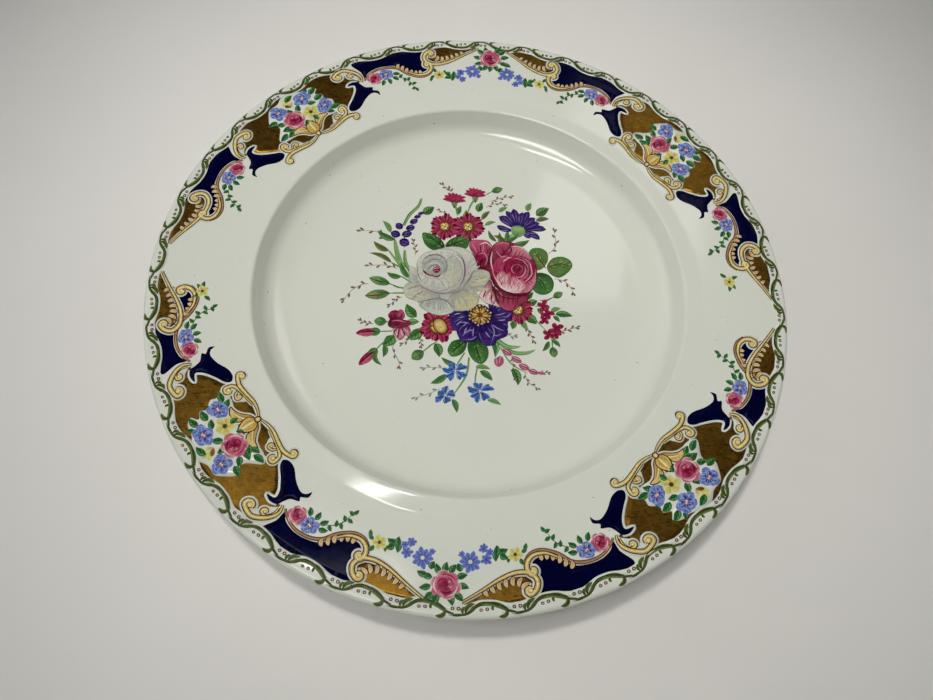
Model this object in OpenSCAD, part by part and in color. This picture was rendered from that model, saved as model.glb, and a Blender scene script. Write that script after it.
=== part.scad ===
// China dinner plate: a fired body, its clear glaze, and the enamels and gilding fired onto the glaze.
// Z = 0 is the table under the foot ring, the axis is Z, and +Y points to the upper rose garland.

/* [Plate] */
// Diameter over the lip, mm
plate_d = 265; // [240:1:280]
// Height from the table to the top of the lip, mm
plate_h = 22; // [18:0.5:30]
// Radius of the lip's round edge, mm
lip_r = 1.8; // [1.4:0.1:2.4]
// Radius of the ridge between the rim and the well, mm
verge_at = 91.2; // [84:0.2:98]
// Rise of the rim under its pattern, degrees
rim_slope = 5.9; // [3:0.1:12]
// Rise of the rim's plain band beside the well, degrees
band_slope = 1.7; // [0:0.1:3]
// Slope of the well's side at its top, degrees
wall_slope = 62; // [55:1:64]
// Height of the well's floor over the table, mm
floor_z = 7; // [6:0.1:8]
// Rounding of the ridge between rim and well, mm
verge_round = 1.5; // [1:0.1:3]
// Radius of the gentle sweep at the edge of the well's floor, mm
floor_round = 28; // [18:1:34]
// Radius of the tighter sweep under the well's side, mm
heel_round = 9; // [6:0.5:12]
// Slope where the gentle sweep meets the tighter one, degrees
heel_slope = 20; // [14:1:26]

/* [Underside] */
// Slope of the rim's underside, degrees
under_slope = 6.8; // [3:0.1:12]
// Slope of the well's underside, degrees
under_wall = 50; // [45:1:52]
// Thickness of the well's side, mm
wall_t = 4.3; // [3.5:0.1:5.5]
// Outer radius of the foot ring, mm
foot_ro = 83.6; // [80:0.2:84]
// Inner radius of the foot ring, mm
foot_ri = 80.6; // [76:0.2:81]
// Height of the underside inside the foot ring, mm
base_z = 3; // [2:0.1:3.4]
// Height of the foot ring's bare, unglazed seat, mm
bare_z = 0.75; // [0.7:0.05:1]

/* [Coats] */
// Thickness of the clear glaze, mm
glaze_t = 0.25; // [0.2:0.05:0.4]
// Thickness of the fired enamels and gilding, mm
enamel_t = 0.15; // [0.1:0.05:0.3]

/* [Pattern] */
// Half angle between the two corner panels beside a garland, degrees
corner_turn = 48; // [44:0.5:50]
// Number of leaves in the border vine
vine_leaves = 38; // [30:1:46]

/* [Hidden] */
$fn = 96;
plate_r = plate_d / 2;
grow = plate_d / 265;
strip_r = 110;
bend_at = 98.5 * grow;
rim_in = 99.45 * grow;
corners = [90 - corner_turn, 90 + corner_turn, 270 - corner_turn, 270 + corner_turn];
garlands = [90, 270];
sprig_ends = [182, 358];
sides = [-1, 1];

// ---- outlines ----

function arc(c, r, a0, a1, n) =
    [for (i = [0:n]) let (a = a0 + (a1 - a0) * i / n) c + r * [cos(a), sin(a)]];
function tail(p) = [for (i = [1:len(p) - 1]) p[i]];
function reverse(p) = [for (i = [len(p) - 1:-1:0]) p[i]];
function up(a) = [-sin(a), cos(a)];
function down(a) = [sin(a), -cos(a)];
function along(a) = [cos(a), sin(a)];
// The point where a line through p at angle a crosses a line through q at angle b
function cross_at(p, a, q, b) =
    let (d = along(a), e = along(b), w = q - p) p + d * (w[0] * e[1] - w[1] * e[0])
    / (d[0] * e[1] - d[1] * e[0]);
// The centre of a round of radius r in a corner with face normals m and n
function round_at(corner, r, m, n) = corner + r * (m + n) / (1 + m * n);

lip_c = [plate_r - lip_r, plate_h - lip_r];
rim_top = lip_c + lip_r * up(rim_slope);
bend = cross_at(rim_top, rim_slope, [bend_at, 0], 90);
bend_round = 25;
bend_c = round_at(bend, bend_round, up(band_slope), up(rim_slope));
verge = cross_at(bend, band_slope, [verge_at, 0], 90);
verge_c = round_at(verge, -verge_round, up(band_slope), up(wall_slope));
heel_z = floor_z + floor_round * (1 - cos(heel_slope)) + heel_round * (cos(heel_slope) - cos(wall_slope));
heel_c = [verge[0] - (verge[1] - heel_z) / tan(wall_slope), heel_z] + heel_round * up(wall_slope);
floor_c = heel_c + (floor_round - heel_round) * up(heel_slope);
under_round = 8;
foot_round = 0.7;
foot_fillet = 1;
rim_low = lip_c + lip_r * down(under_slope);
wall_low = verge + wall_t * down(wall_slope);
under = cross_at(rim_low, under_slope, wall_low, under_wall);
under_c = round_at(under, under_round, down(under_slope), down(under_wall));
foot_corner = cross_at(wall_low, under_wall, [foot_ro, 0], 90);
foot_c = round_at(foot_corner, foot_fillet, down(under_wall), [1, 0]);

// The finished surface moved inwards by d: over the top, round the lip and down to the foot ring
function outer_path(d) = concat(
    [[0, floor_z - d]],
    arc(floor_c, floor_round + d, -90, heel_slope - 90, 5),
    tail(arc(heel_c, heel_round + d, heel_slope - 90, wall_slope - 90, 7)),
    arc(verge_c, verge_round - d, 90 + wall_slope, 90 + band_slope, 6),
    arc(bend_c, bend_round + d, band_slope - 90, rim_slope - 90, 3),
    arc(lip_c, lip_r - d, 90 + rim_slope, under_slope - 90, 14),
    arc(under_c, under_round + d, 90 + under_slope, 90 + under_wall, 6),
    arc(foot_c, foot_fillet + d, 90 + under_wall, 180, 4),
    [[foot_ro - d, bare_z]]);
function seat_path() = concat(
    [[foot_ro, bare_z]],
    arc([foot_ro - foot_round, foot_round], foot_round, 0, -90, 5),
    arc([foot_ri + foot_round, foot_round], foot_round, -90, -180, 5),
    [[foot_ri, bare_z]]);
function base_path(d) = concat(
    [[foot_ri + d, bare_z]],
    arc([foot_ri - foot_fillet, base_z - foot_fillet], foot_fillet + d, 0, 90, 5),
    [[0, base_z + d]]);

// ---- drawing on the rim ----
// s runs clockwise along the rim from an angle c, measured at strip_r, and r is the radius.

function rim_at(c, s, r) = let (a = c - s / strip_r * 180 / PI) grow * r * [cos(a), sin(a)];
function spline(a, b, c, d, t) =
    0.5 * (2 * b + (c - a) * t + (2 * a - 5 * b + 4 * c - d) * t * t
    + (3 * b - a - 3 * c + d) * t * t * t);
function closed_curve(p, n = 2) = let (m = len(p))
    [for (i = [0:m - 1], j = [0:n - 1])
        spline(p[(i + m - 1) % m], p[i], p[(i + 1) % m], p[(i + 2) % m], j / n)];
function open_curve(p, n = 3) = let (m = len(p) - 1) concat(
    [for (i = [0:m - 1], j = [0:n - 1])
        spline(p[max(i - 1, 0)], p[i], p[i + 1], p[min(i + 2, m)], j / n)], [p[m]]);

module patch(c, m, p) polygon([for (q = closed_curve(p)) rim_at(c, m * q[0], q[1])]);

// A stroke w wide along the points p, thinner at its start, with a round blob at its end
module scroll(c, m, p, w, blob) {
    q = open_curve([for (v = p) rim_at(c, m * v[0], v[1])]);
    last = len(q) - 1;
    function side(i) = let (d = q[min(i + 1, last)] - q[max(i - 1, 0)])
        [-d[1], d[0]] / norm(d) * w / 2 * (0.45 + 0.55 * sin(90 * min(1, 2 * i / last)));
    polygon(concat([for (i = [0:last]) q[i] + side(i)],
        reverse([for (i = [0:last]) q[i] - side(i)])));
    if (blob > 0) translate(q[last]) rotate(c) circle(blob, $fn = 10);
}

// A flower seen from above: size is its mean radius, with n petals
module bloom(size, n, lobe = 0.12, turn = 0)
    polygon([for (i = [0:4 * n - 1]) let (a = i * 90 / n)
        size * (1 + lobe * cos(n * a)) * [cos(a + turn), sin(a + turn)]]);
module rim_bloom(c, s, r, size, n, lobe = 0.12) translate(rim_at(c, s, r)) bloom(size, n, lobe, c);

// A pointed leaf from the origin along turn
module leaf(length, width, turn) rotate(turn)
    polygon(concat([for (i = [0:5]) let (t = i / 5) [length * t, width / 2 * sin(180 * pow(t, 0.8))]],
        [for (i = [4:-1:1]) let (t = i / 5) [length * t, -width / 2 * sin(180 * pow(t, 0.8))]]));
module rim_leaf(c, s, r, length, width, turn) translate(rim_at(c, s, r))
    leaf(length, width, c - 90 - s / strip_r * 180 / PI + turn);

// The coat of enamel that lies on the rim's glaze, cut to an outline
module on_rim() {
    face_end = 50;
    intersection() {
        rotate_extrude($fn = 180) polygon(concat(
            [cross_at(rim_top, rim_slope, [rim_in, 0], 90)],
            arc(lip_c, lip_r, 90 + rim_slope, face_end, 6),
            reverse(arc(lip_c, lip_r + enamel_t, 90 + rim_slope, face_end, 6)),
            [cross_at(rim_top + enamel_t * up(rim_slope), rim_slope, [rim_in, 0], 90)]));
        linear_extrude(plate_h + 1) children();
    }
}
module on_floor() translate([0, 0, floor_z]) linear_extrude(enamel_t) children();

// ---- outlines of the rim's pattern ----

module bracket_2d(c) for (m = sides) {
    scroll(c, m, [[0.4, 102], [3.5, 100.8], [8, 100.3], [14, 101.6], [18, 102.3], [20.2, 101]], 1.4, 1.5);
    scroll(c, m, [[9.5, 102.9], [13.6, 103.9], [17, 105.2], [18, 107], [16.4, 107.9]], 1.2, 1.5);
    scroll(c, m, [[5.5, 102.7], [8.8, 104.2], [12, 105.6]], 0.8, 1);
}
module bell_2d(c) for (m = sides) patch(c, m, [[20.2, 104.4], [22.5, 103.2], [26, 104], [30, 107],
    [34, 108.7], [37.2, 107], [37.2, 109], [34.8, 110.4], [35.6, 111.5], [32.6, 113], [31, 115.2],
    [28.8, 115.4], [27, 112], [24, 109], [21, 106.6]]);
module c_scroll_2d(c) for (m = sides) {
    scroll(c, m, [[32.6, 116.8], [33.2, 120.5], [31.2, 124.2], [27.4, 125.6], [24.3, 124.6]],
        1.4, 1.5);
    scroll(c, m, [[31.2, 118.2], [31, 120.9], [28.8, 121]], 1, 1.1);
}
module reserve_2d(c) patch(c, 1, [[-14.5, 109], [-9, 111.5], [-5, 108.2], [0, 110.2], [5, 108.8], [14, 108.2],
    [16.5, 110.5], [13.5, 114], [14, 118], [12.5, 122], [9, 125.2], [0, 126.3], [-6, 126], [-12, 124],
    [-15, 120], [-13.5, 115.5], [-16.5, 112]]);
module bud_2d(c) {
    patch(c, 1, [[0, 103], [2, 104.6], [2.4, 106.6], [0, 109.2], [-2.4, 106.6], [-2, 104.6]]);
    for (m = sides) patch(c, m, [[2.6, 103.4], [5.6, 104.8], [9.2, 108.4], [5, 107.2], [3, 105.4]]);
}
gold_half = [[8, 101.3], [14, 102.4], [19.4, 104.2], [20.6, 106.8], [24, 109.5], [26.8, 112.5],
    [28.6, 115.8], [32.4, 117.4], [32.8, 120.5], [31, 123.8], [27, 125.4], [20, 126.2], [8, 126.7]];
module gold_panel_2d(c)
    patch(c, 1, concat([[0, 102]], gold_half, [[0, 126.8]], reverse([for (v = gold_half) [-v[0], v[1]]])));
// From the corner panel to the wedge, over the arch
module cobalt_panel_2d(c) for (m = sides) patch(c, m, [[34.2, 117.6], [36.5, 119.9], [41, 121.3], [46, 121],
    [50.5, 119.5], [54, 115.5], [58.5, 112.8], [62.6, 113], [64.4, 115], [64, 118.6], [65, 121.4],
    [66.8, 124.6], [65.5, 126.3], [58, 126.4], [48, 126.7], [38, 126.6], [31.5, 126.2], [33.8, 121.6]]);
module arch_2d(c) for (m = sides) {
    scroll(c, m, [[33.6, 116.6], [36.8, 119], [41, 120.4], [46, 120.1], [50, 118.4], [53.5, 114.6],
        [58.5, 111.9], [62.8, 112.2], [65.4, 114.6], [64.6, 117.2]], 1.3, 1);
}
// Wedges point away from the cobalt: beside a garland, and to the gaps at left and right
module wedge_2d(c) for (m = sides) patch(c, m, [[22.6, 118.6], [26.6, 119.6], [28.2, 121.6], [27.4, 124],
    [24, 126.2], [16, 126.6], [6.2, 126.2], [11.8, 123], [17.6, 119.8]]);
module shell_2d(c) for (m = sides) {
    scroll(c, m, [[24, 125], [27.8, 124.2], [29, 121.3], [27.2, 118.6], [23, 117.8], [18, 118.9],
        [12, 122], [6.4, 125.2]], 1.2, 0);
    scroll(c, m, [[14, 122.8], [18, 121.4], [21.5, 122.2]], 1, 0.9);
}

module drop_rose_2d(c) for (m = sides) rim_bloom(c, m * 44.6, 115.6, 2.9, 6);
module drop_blue_2d(c) for (m = sides) rim_bloom(c, m * 51, 115.6, 2.3, 7, 0.16);
module drop_leaf_2d(c) for (m = sides) {
    for (v = [[48, 112.9, 3.6, 1.5, 60], [47, 112.9, 3.2, 1.4, 200], [53, 111.2, 3.4, 1.3, 240],
        [55, 107.8, 3.2, 1.2, 215], [56, 109.6, 3.2, 1.2, 330], [56.5, 105.2, 3, 1.1, 255]])
        rim_leaf(c, m * v[0], v[1], v[2], v[3], m > 0 ? v[4] : 180 - v[4]);
}

module corner_rose_2d(c) rim_bloom(c, -4.5, 113.5, 3.7, 6, 0.08);
module corner_blue_2d(c) for (v = [[-7.5, 121.2, 2.6], [4.5, 120.8, 3], [9.5, 113.5, 2.6]])
    rim_bloom(c, v[0], v[1], v[2], 8, 0.14);
module corner_yellow_2d(c) {
    rim_bloom(c, 3, 114.4, 2.2, 5, 0.16);
    rim_bloom(c, -2.2, 123.2, 1.8, 5, 0.2);
}
module corner_leaf_2d(c) for (v = [[-9, 116.5, 4.4, 2, 150], [-9.5, 113, 4.6, 2, 190], [-10, 119.5, 3.6, 1.8, 165],
    [-1, 117.4, 3, 1.8, 80], [7, 118, 4.4, 2, 10], [7.5, 122, 3.6, 1.8, 40], [5, 111, 3.6, 1.8, 300],
    [12, 112, 3.6, 1.6, 320], [0, 123.8, 2.4, 1.4, 30], [-6, 110.2, 2.4, 1.2, 230]])
    rim_leaf(c, v[0], v[1], v[2], v[3], v[4]);

module garland_rose_2d(c) rim_bloom(c, 0.5, 120.3, 4.2, 7, 0.07);
module garland_aster_2d(c) for (m = sides) {
    rim_bloom(c, m * 7.6, 113.8, 3.5, 9, 0.14);
    rim_bloom(c, m * 13.2, 112.4, 1.8, 6, 0.14);
    rim_bloom(c, m * 13, 108.9, 1.4, 6, 0.14);
}
module garland_leaf_2d(c) {
    for (m = sides, v = [[4.2, 122.6, 3.6, 2, 45], [5.2, 120, 3.2, 1.9, 5], [4.6, 117.6, 3.2, 1.8, 330],
        [1.4, 124.4, 2.2, 1.8, 70], [1.2, 116.2, 3.2, 1.8, 250], [16, 111.2, 3.6, 1.4, 0],
        [16.5, 109.4, 3, 1.3, 330]])
        rim_leaf(c, m * v[0], v[1], v[2], v[3], m > 0 ? v[4] : 180 - v[4]);
}
module garland_yellow_2d(c) for (m = sides) rim_bloom(c, m * 23.8, 111.6, 2.1, 5, 0.16);
module garland_sprig_2d(c) for (m = sides, v = [[25.4, 112.6, 3.2, 1.3, 50], [25.8, 110.8, 3.2, 1.3, 320]])
    rim_leaf(c, m * v[0], v[1], v[2], v[3], m > 0 ? v[4] : 180 - v[4]);
module end_yellow_2d(c) rim_bloom(c, -14, 110, 2.1, 5, 0.16);
module end_sprig_2d(c) for (v = [[-15.8, 111.4, 3.2, 1.3, 120], [-16, 109, 3.2, 1.3, 215],
    [-12, 109.8, 3.6, 1.3, 350]])
    rim_leaf(c, v[0], v[1], v[2], v[3], v[4]);

module vine_2d() for (i = [0:vine_leaves - 1]) {
    span = 2 * PI * 129.2 * grow / vine_leaves;
    rotate(90 + i * 360 / vine_leaves) translate([129.2 * grow, 0]) {
        rotate(90) translate([-span * 0.56, 0]) leaf(span * 1.12, 2.5, 0);
        translate([-0.7, 0]) leaf(2.6, 1.5, 25);
        translate([-0.7, 0]) leaf(2.6, 1.5, -25);
    }
}
module bead_2d() for (i = [0:vine_leaves - 1], r = [127.1, 131.15]) rotate(90 + (i + 0.5) * 360 / vine_leaves)
    translate([r * grow, 0]) circle(0.4);

// ---- outlines of the bouquet in the well, mm from the centre ----

module flower_at(v) translate(grow * [v[0], v[1]]) bloom(grow * v[2], v[3], v[4], v[5]);
module white_rose_2d() flower_at([-12.6, 6.8, 16.8, 9, 0.06, 10]);
module pink_rose_2d() difference() {
    flower_at([16.5, 11.7, 14.2, 8, 0.07, 0]);
    white_rose_2d();
}
module anemone_2d() difference() {
    flower_at([5.4, -9.7, 11.6, 6, 0.1, 20]);
    white_rose_2d();
    pink_rose_2d();
}
module crimson_2d() difference() {
    for (v = [[-14.2, 34, 6.6, 12, 0.1, 0], [-2.9, 35.9, 6.6, 12, 0.1, 0], [-12.2, -17.5, 7, 12, 0.1, 0],
        [-29.5, -17.5, 5.8, 9, 0.12, 0], [21.8, -4.9, 6.4, 12, 0.1, 0], [33.6, -5.4, 4, 7, 0.14, 0],
        [36.9, -14, 4, 7, 0.14, 0], [-11.7, 48.6, 4.4, 8, 0.12, 0], [-1.4, 53.4, 3.8, 8, 0.12, 0]])
        flower_at(v);
    white_rose_2d();
    pink_rose_2d();
    anemone_2d();
}
module aster_2d() flower_at([21, 39.8, 6.4, 11, 0.14, 0]);
module hyacinth_2d() for (i = [0:5]) let (t = i / 5)
    translate(grow * [-31 + 5.8 * t, 28 + 11.8 * t]) circle(grow * (2.3 - 0.9 * t));
module cornflower_2d() for (v = [[-3.9, -36.5, 5.2, 9, 0.16, 0], [-5.8, -48.2, 4.6, 9, 0.16, 0],
    [7.8, -44.7, 4.8, 9, 0.16, 0]]) flower_at(v);
module rosebud_2d() for (v = [[-41.8, -23.3, 3.6, 5, 0.08, 200], [-40.2, -34, 3.3, 5, 0.08, 210]])
    flower_at(v);
module heather_2d() for (i = [0:7]) let (t = i / 7)
    translate(grow * [17 + 16 * t, -28.5 - 6 * t + 1.2 * (i % 2)]) circle(grow * (1.7 - 0.5 * t));
module flowers_2d() {
    white_rose_2d();
    pink_rose_2d();
    anemone_2d();
    crimson_2d();
    aster_2d();
    hyacinth_2d();
    cornflower_2d();
    rosebud_2d();
    heather_2d();
}
module bouquet_leaf_2d() difference() {
    for (v = [[24, 18, 15, 8, 35], [27, 12, 18, 8.5, 15], [26, 6, 15, 7, -10], [-1, -18, 13, 6.5, 255],
        [5, -19, 13, 6.5, 285], [-16, 20, 13, 6, 125], [-8, 22, 11, 5.5, 85], [8, 24, 13, 5.5, 75],
        [14, 26, 12, 5, 55], [-26, 14, 13, 6, 160], [-27, 4, 13, 6, 190], [-22, -8, 13, 6, 215],
        [-34, -20, 9, 3.6, 220], [-6, -42, 9, 3.4, 250], [3, -40, 8, 3, 310], [18, -20, 12, 5, 310],
        [28, -8, 10, 4.4, 345], [-22, 26, 10, 4, 105], [-5, 42, 9, 3.6, 95], [14, 34, 9, 3.4, 40]])
        translate(grow * [v[0], v[1]]) leaf(grow * v[2], grow * v[3], v[4]);
    flowers_2d();
}

// ---- nodes ----

module porcelain_body() color([0.93, 0.92, 0.88]) rotate_extrude()
    polygon(concat(outer_path(glaze_t), seat_path(), base_path(glaze_t)));
module clear_glaze() color([0.97, 0.97, 0.95]) rotate_extrude() {
    polygon(concat(outer_path(0), reverse(outer_path(glaze_t))));
    polygon(concat(base_path(0), reverse(base_path(glaze_t))));
}

module gold_corner_panels() color([0.55, 0.4, 0.15]) on_rim() for (c = corners) difference() {
    gold_panel_2d(c);
    reserve_2d(c);
    bud_2d(c);
    bracket_2d(c);
    bell_2d(c);
    c_scroll_2d(c);
}
module gold_wedges() color([0.6, 0.42, 0.14]) on_rim() for (c = concat(garlands, sprig_ends)) difference() {
    wedge_2d(c);
    shell_2d(c);
}
module cobalt_panels() color([0.03, 0.03, 0.3]) on_rim() difference() {
    for (c = corners) cobalt_panel_2d(c);
    for (c = corners) c_scroll_2d(c);
    for (c = corners) arch_2d(c);
    for (c = concat(garlands, sprig_ends)) wedge_2d(c);
    for (c = concat(garlands, sprig_ends)) shell_2d(c);
}
module cobalt_bells() color([0.04, 0.04, 0.34]) on_rim() for (c = corners) difference() {
    bell_2d(c);
    bracket_2d(c);
}
module bracket_scrolls() color([0.85, 0.72, 0.4]) on_rim() for (c = corners) bracket_2d(c);
module c_scrolls() color([0.86, 0.74, 0.42]) on_rim() for (c = corners) c_scroll_2d(c);
module arch_bands() color([0.45, 0.25, 0.1]) on_rim() difference() {
    for (c = corners) arch_2d(c);
    for (c = corners) c_scroll_2d(c);
    for (c = concat(garlands, sprig_ends)) shell_2d(c);
}
module shell_scrolls() color([0.84, 0.7, 0.38]) on_rim() for (c = concat(garlands, sprig_ends)) shell_2d(c);
module corner_buds() color([0.9, 0.75, 0.2]) on_rim() for (c = corners) difference() {
    bud_2d(c);
    bracket_2d(c);
}
module leaf_border() color([0.25, 0.33, 0.12]) on_rim() vine_2d();
module gilt_beads() color([0.6, 0.4, 0.12]) on_rim() bead_2d();
module corner_roses() color([0.85, 0.5, 0.6]) on_rim() for (c = corners) corner_rose_2d(c);
module corner_blue_flowers() color([0.3, 0.35, 0.75]) on_rim() for (c = corners) corner_blue_2d(c);
module corner_yellow_flowers() color([0.9, 0.78, 0.2]) on_rim() for (c = corners) difference() {
    corner_yellow_2d(c);
    corner_blue_2d(c);
    corner_rose_2d(c);
}
module corner_leaves() color([0.3, 0.45, 0.2]) on_rim() for (c = corners) difference() {
    corner_leaf_2d(c);
    corner_rose_2d(c);
    corner_blue_2d(c);
    corner_yellow_2d(c);
}
module drop_roses() color([0.85, 0.52, 0.62]) on_rim() for (c = corners) drop_rose_2d(c);
module drop_blue_flowers() color([0.3, 0.36, 0.78]) on_rim() for (c = corners) difference() {
    drop_blue_2d(c);
    arch_2d(c);
}
module drop_leaves() color([0.3, 0.45, 0.2]) on_rim() for (c = corners) difference() {
    drop_leaf_2d(c);
    drop_rose_2d(c);
    drop_blue_2d(c);
    arch_2d(c);
    for (g = garlands) garland_sprig_2d(g);
    for (g = garlands) garland_yellow_2d(g);
}
module garland_roses() color([0.86, 0.5, 0.6]) on_rim() for (c = garlands) garland_rose_2d(c);
module garland_asters() color([0.32, 0.38, 0.8]) on_rim() for (c = garlands) garland_aster_2d(c);
module garland_leaves() color([0.3, 0.45, 0.2]) on_rim() for (c = garlands) difference() {
    garland_leaf_2d(c);
    garland_rose_2d(c);
    garland_aster_2d(c);
}
module yellow_flowers() color([0.92, 0.8, 0.25]) on_rim() {
    for (c = garlands) garland_yellow_2d(c);
    for (c = sprig_ends) end_yellow_2d(c);
}
module yellow_flower_leaves() color([0.32, 0.46, 0.2]) on_rim() difference() {
    union() {
        for (c = garlands) garland_sprig_2d(c);
        for (c = sprig_ends) end_sprig_2d(c);
    }
    for (c = garlands) garland_yellow_2d(c);
    for (c = sprig_ends) end_yellow_2d(c);
}
module white_rose() color([0.9, 0.88, 0.84]) on_floor() white_rose_2d();
module pink_rose() color([0.8, 0.3, 0.4]) on_floor() pink_rose_2d();
module purple_anemone() color([0.45, 0.25, 0.6]) on_floor() anemone_2d();
module crimson_flowers() color([0.7, 0.12, 0.25]) on_floor() crimson_2d();
module purple_aster() color([0.5, 0.35, 0.65]) on_floor() aster_2d();
module grape_hyacinth() color([0.3, 0.3, 0.65]) on_floor() hyacinth_2d();
module blue_cornflowers() color([0.3, 0.4, 0.8]) on_floor() cornflower_2d();
module rosebuds() color([0.85, 0.45, 0.5]) on_floor() rosebud_2d();
module bouquet_leaves() color([0.25, 0.42, 0.18]) on_floor() bouquet_leaf_2d();
module heather_sprig() color([0.85, 0.55, 0.65]) on_floor() heather_2d();

porcelain_body();
clear_glaze();
gold_corner_panels();
gold_wedges();
cobalt_panels();
cobalt_bells();
bracket_scrolls();
c_scrolls();
arch_bands();
shell_scrolls();
corner_buds();
leaf_border();
gilt_beads();
corner_roses();
corner_blue_flowers();
corner_yellow_flowers();
corner_leaves();
drop_roses();
drop_blue_flowers();
drop_leaves();
garland_roses();
garland_asters();
garland_leaves();
yellow_flowers();
yellow_flower_leaves();
white_rose();
pink_rose();
purple_anemone();
crimson_flowers();
purple_aster();
grape_hyacinth();
blue_cornflowers();
rosebuds();
bouquet_leaves();
heather_sprig();
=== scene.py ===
import json
import math

import bpy
from mathutils import Matrix, Vector
from mathutils.geometry import delaunay_2d_cdt


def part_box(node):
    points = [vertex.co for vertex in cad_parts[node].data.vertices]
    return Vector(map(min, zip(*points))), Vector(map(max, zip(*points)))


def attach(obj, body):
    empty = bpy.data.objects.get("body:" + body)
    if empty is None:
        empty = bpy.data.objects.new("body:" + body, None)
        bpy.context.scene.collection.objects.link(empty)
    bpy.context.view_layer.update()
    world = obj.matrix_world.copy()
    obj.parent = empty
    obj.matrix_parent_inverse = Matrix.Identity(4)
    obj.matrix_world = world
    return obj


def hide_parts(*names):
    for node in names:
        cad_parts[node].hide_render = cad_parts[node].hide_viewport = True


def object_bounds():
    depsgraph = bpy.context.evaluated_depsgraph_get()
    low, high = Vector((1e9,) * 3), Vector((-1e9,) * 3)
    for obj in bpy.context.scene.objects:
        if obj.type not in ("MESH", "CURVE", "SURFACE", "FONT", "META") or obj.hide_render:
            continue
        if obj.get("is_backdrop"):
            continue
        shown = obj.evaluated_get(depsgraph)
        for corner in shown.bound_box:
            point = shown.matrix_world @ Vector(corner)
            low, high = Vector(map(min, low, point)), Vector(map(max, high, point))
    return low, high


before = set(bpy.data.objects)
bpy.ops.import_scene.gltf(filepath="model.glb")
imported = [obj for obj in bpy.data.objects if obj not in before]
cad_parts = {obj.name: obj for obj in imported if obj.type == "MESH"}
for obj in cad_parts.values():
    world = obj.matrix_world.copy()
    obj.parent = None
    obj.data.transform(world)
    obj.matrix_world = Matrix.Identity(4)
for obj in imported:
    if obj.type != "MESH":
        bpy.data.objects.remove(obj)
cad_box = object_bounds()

MM = 0.001
ROOT = "root"

# ---- the plate's shape, mm, the same construction as the CAD ----

glaze_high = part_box("clear_glaze")[1]
PLATE_R = round(glaze_high.x / MM, 1)
PLATE_H = round(glaze_high.z / MM, 1)
LIP_R = 1.8
VERGE_AT = 91.2
VERGE_ROUND = 1.5
BEND_AT = 98.5
BEND_ROUND = 25.0
FLOOR_Z = 7.0
FLOOR_ROUND = 28.0
HEEL_ROUND = 9.0
HEEL_SLOPE = math.radians(20)
RIM_SLOPE = math.radians(5.9)
BAND_SLOPE = math.radians(1.7)
WALL_SLOPE = math.radians(62)
UNDER_SLOPE = math.radians(6.8)
UNDER_WALL = math.radians(50)
WALL_T = 4.3
UNDER_ROUND = 8.0
FOOT_RO = 83.6
FOOT_RI = 80.6
FOOT_FILLET = 1.0
BASE_Z = 3.0
BARE_Z = 0.75
DISH = 0.6           # the floor is very slightly dished, as fired plates are
DISH_FROM, DISH_TOP, DISH_END = 50, 80, 91
STRIP_R = 110.0      # radius at which the rim pattern's u is measured
CORNER_TURN = 48


def up(a):
    """The upward normal of a line that rises at angle a."""
    return Vector((-math.sin(a), math.cos(a)))


def down(a):
    """The downward normal of the same line."""
    return -up(a)


def cross_at(p, a, q, b):
    """Where a line through p at angle a meets a line through q at angle b."""
    d = Vector((math.cos(a), math.sin(a)))
    e = Vector((math.cos(b), math.sin(b)))
    w = q - p
    return p + d * ((w.x * e.y - w.y * e.x) / (d.x * e.y - d.y * e.x))


def round_at(corner, r, m, n):
    """Centre of the arc of radius r that rounds a corner between lines with normals m and n."""
    return corner + r * (m + n) / (1 + m.dot(n))


def arc(c, r, a0, a1, steps):
    """Points on an arc round c from angle a0 to a1."""
    turns = (a0 + (a1 - a0) * i / steps for i in range(steps + 1))
    return [(c.x + r * math.cos(a), c.y + r * math.sin(a)) for a in turns]


lip_c = Vector((PLATE_R - LIP_R, PLATE_H - LIP_R))
rim_top = lip_c + LIP_R * up(RIM_SLOPE)
bend = cross_at(rim_top, RIM_SLOPE, Vector((BEND_AT, 0)), math.pi / 2)
bend_c = round_at(bend, BEND_ROUND, up(BAND_SLOPE), up(RIM_SLOPE))
verge = cross_at(bend, BAND_SLOPE, Vector((VERGE_AT, 0)), math.pi / 2)
verge_c = round_at(verge, -VERGE_ROUND, up(BAND_SLOPE), up(WALL_SLOPE))
heel_z = (FLOOR_Z + FLOOR_ROUND * (1 - math.cos(HEEL_SLOPE))
          + HEEL_ROUND * (math.cos(HEEL_SLOPE) - math.cos(WALL_SLOPE)))
heel = Vector((verge.x - (verge.y - heel_z) / math.tan(WALL_SLOPE), heel_z))
heel_c = heel + HEEL_ROUND * up(WALL_SLOPE)
floor_c = heel_c + (FLOOR_ROUND - HEEL_ROUND) * up(HEEL_SLOPE)
rim_low = lip_c + LIP_R * down(UNDER_SLOPE)
wall_low = verge + WALL_T * down(WALL_SLOPE)
under = cross_at(rim_low, UNDER_SLOPE, wall_low, UNDER_WALL)
under_c = round_at(under, UNDER_ROUND, down(UNDER_SLOPE), down(UNDER_WALL))
foot_corner = cross_at(wall_low, UNDER_WALL, Vector((FOOT_RO, 0)), math.pi / 2)
foot_c = round_at(foot_corner, FOOT_FILLET, down(UNDER_WALL), Vector((1, 0)))
QUARTER = math.pi / 2


def dish(r):
    """How far the well's surface stands above its nominal height."""
    if r < DISH_TOP:
        t = max(0, r - DISH_FROM) / (DISH_TOP - DISH_FROM)
    else:
        t = max(0, DISH_END - r) / (DISH_END - DISH_TOP)
    return DISH * (1 - math.cos(math.pi * t)) / 2


def between(p, q, steps):
    """Points after p and before q, so that long flat faces carry their own loops."""
    return [(p[0] + (q[0] - p[0]) * i / steps, p[1] + (q[1] - p[1]) * i / steps) for i in range(1, steps)]


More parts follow.
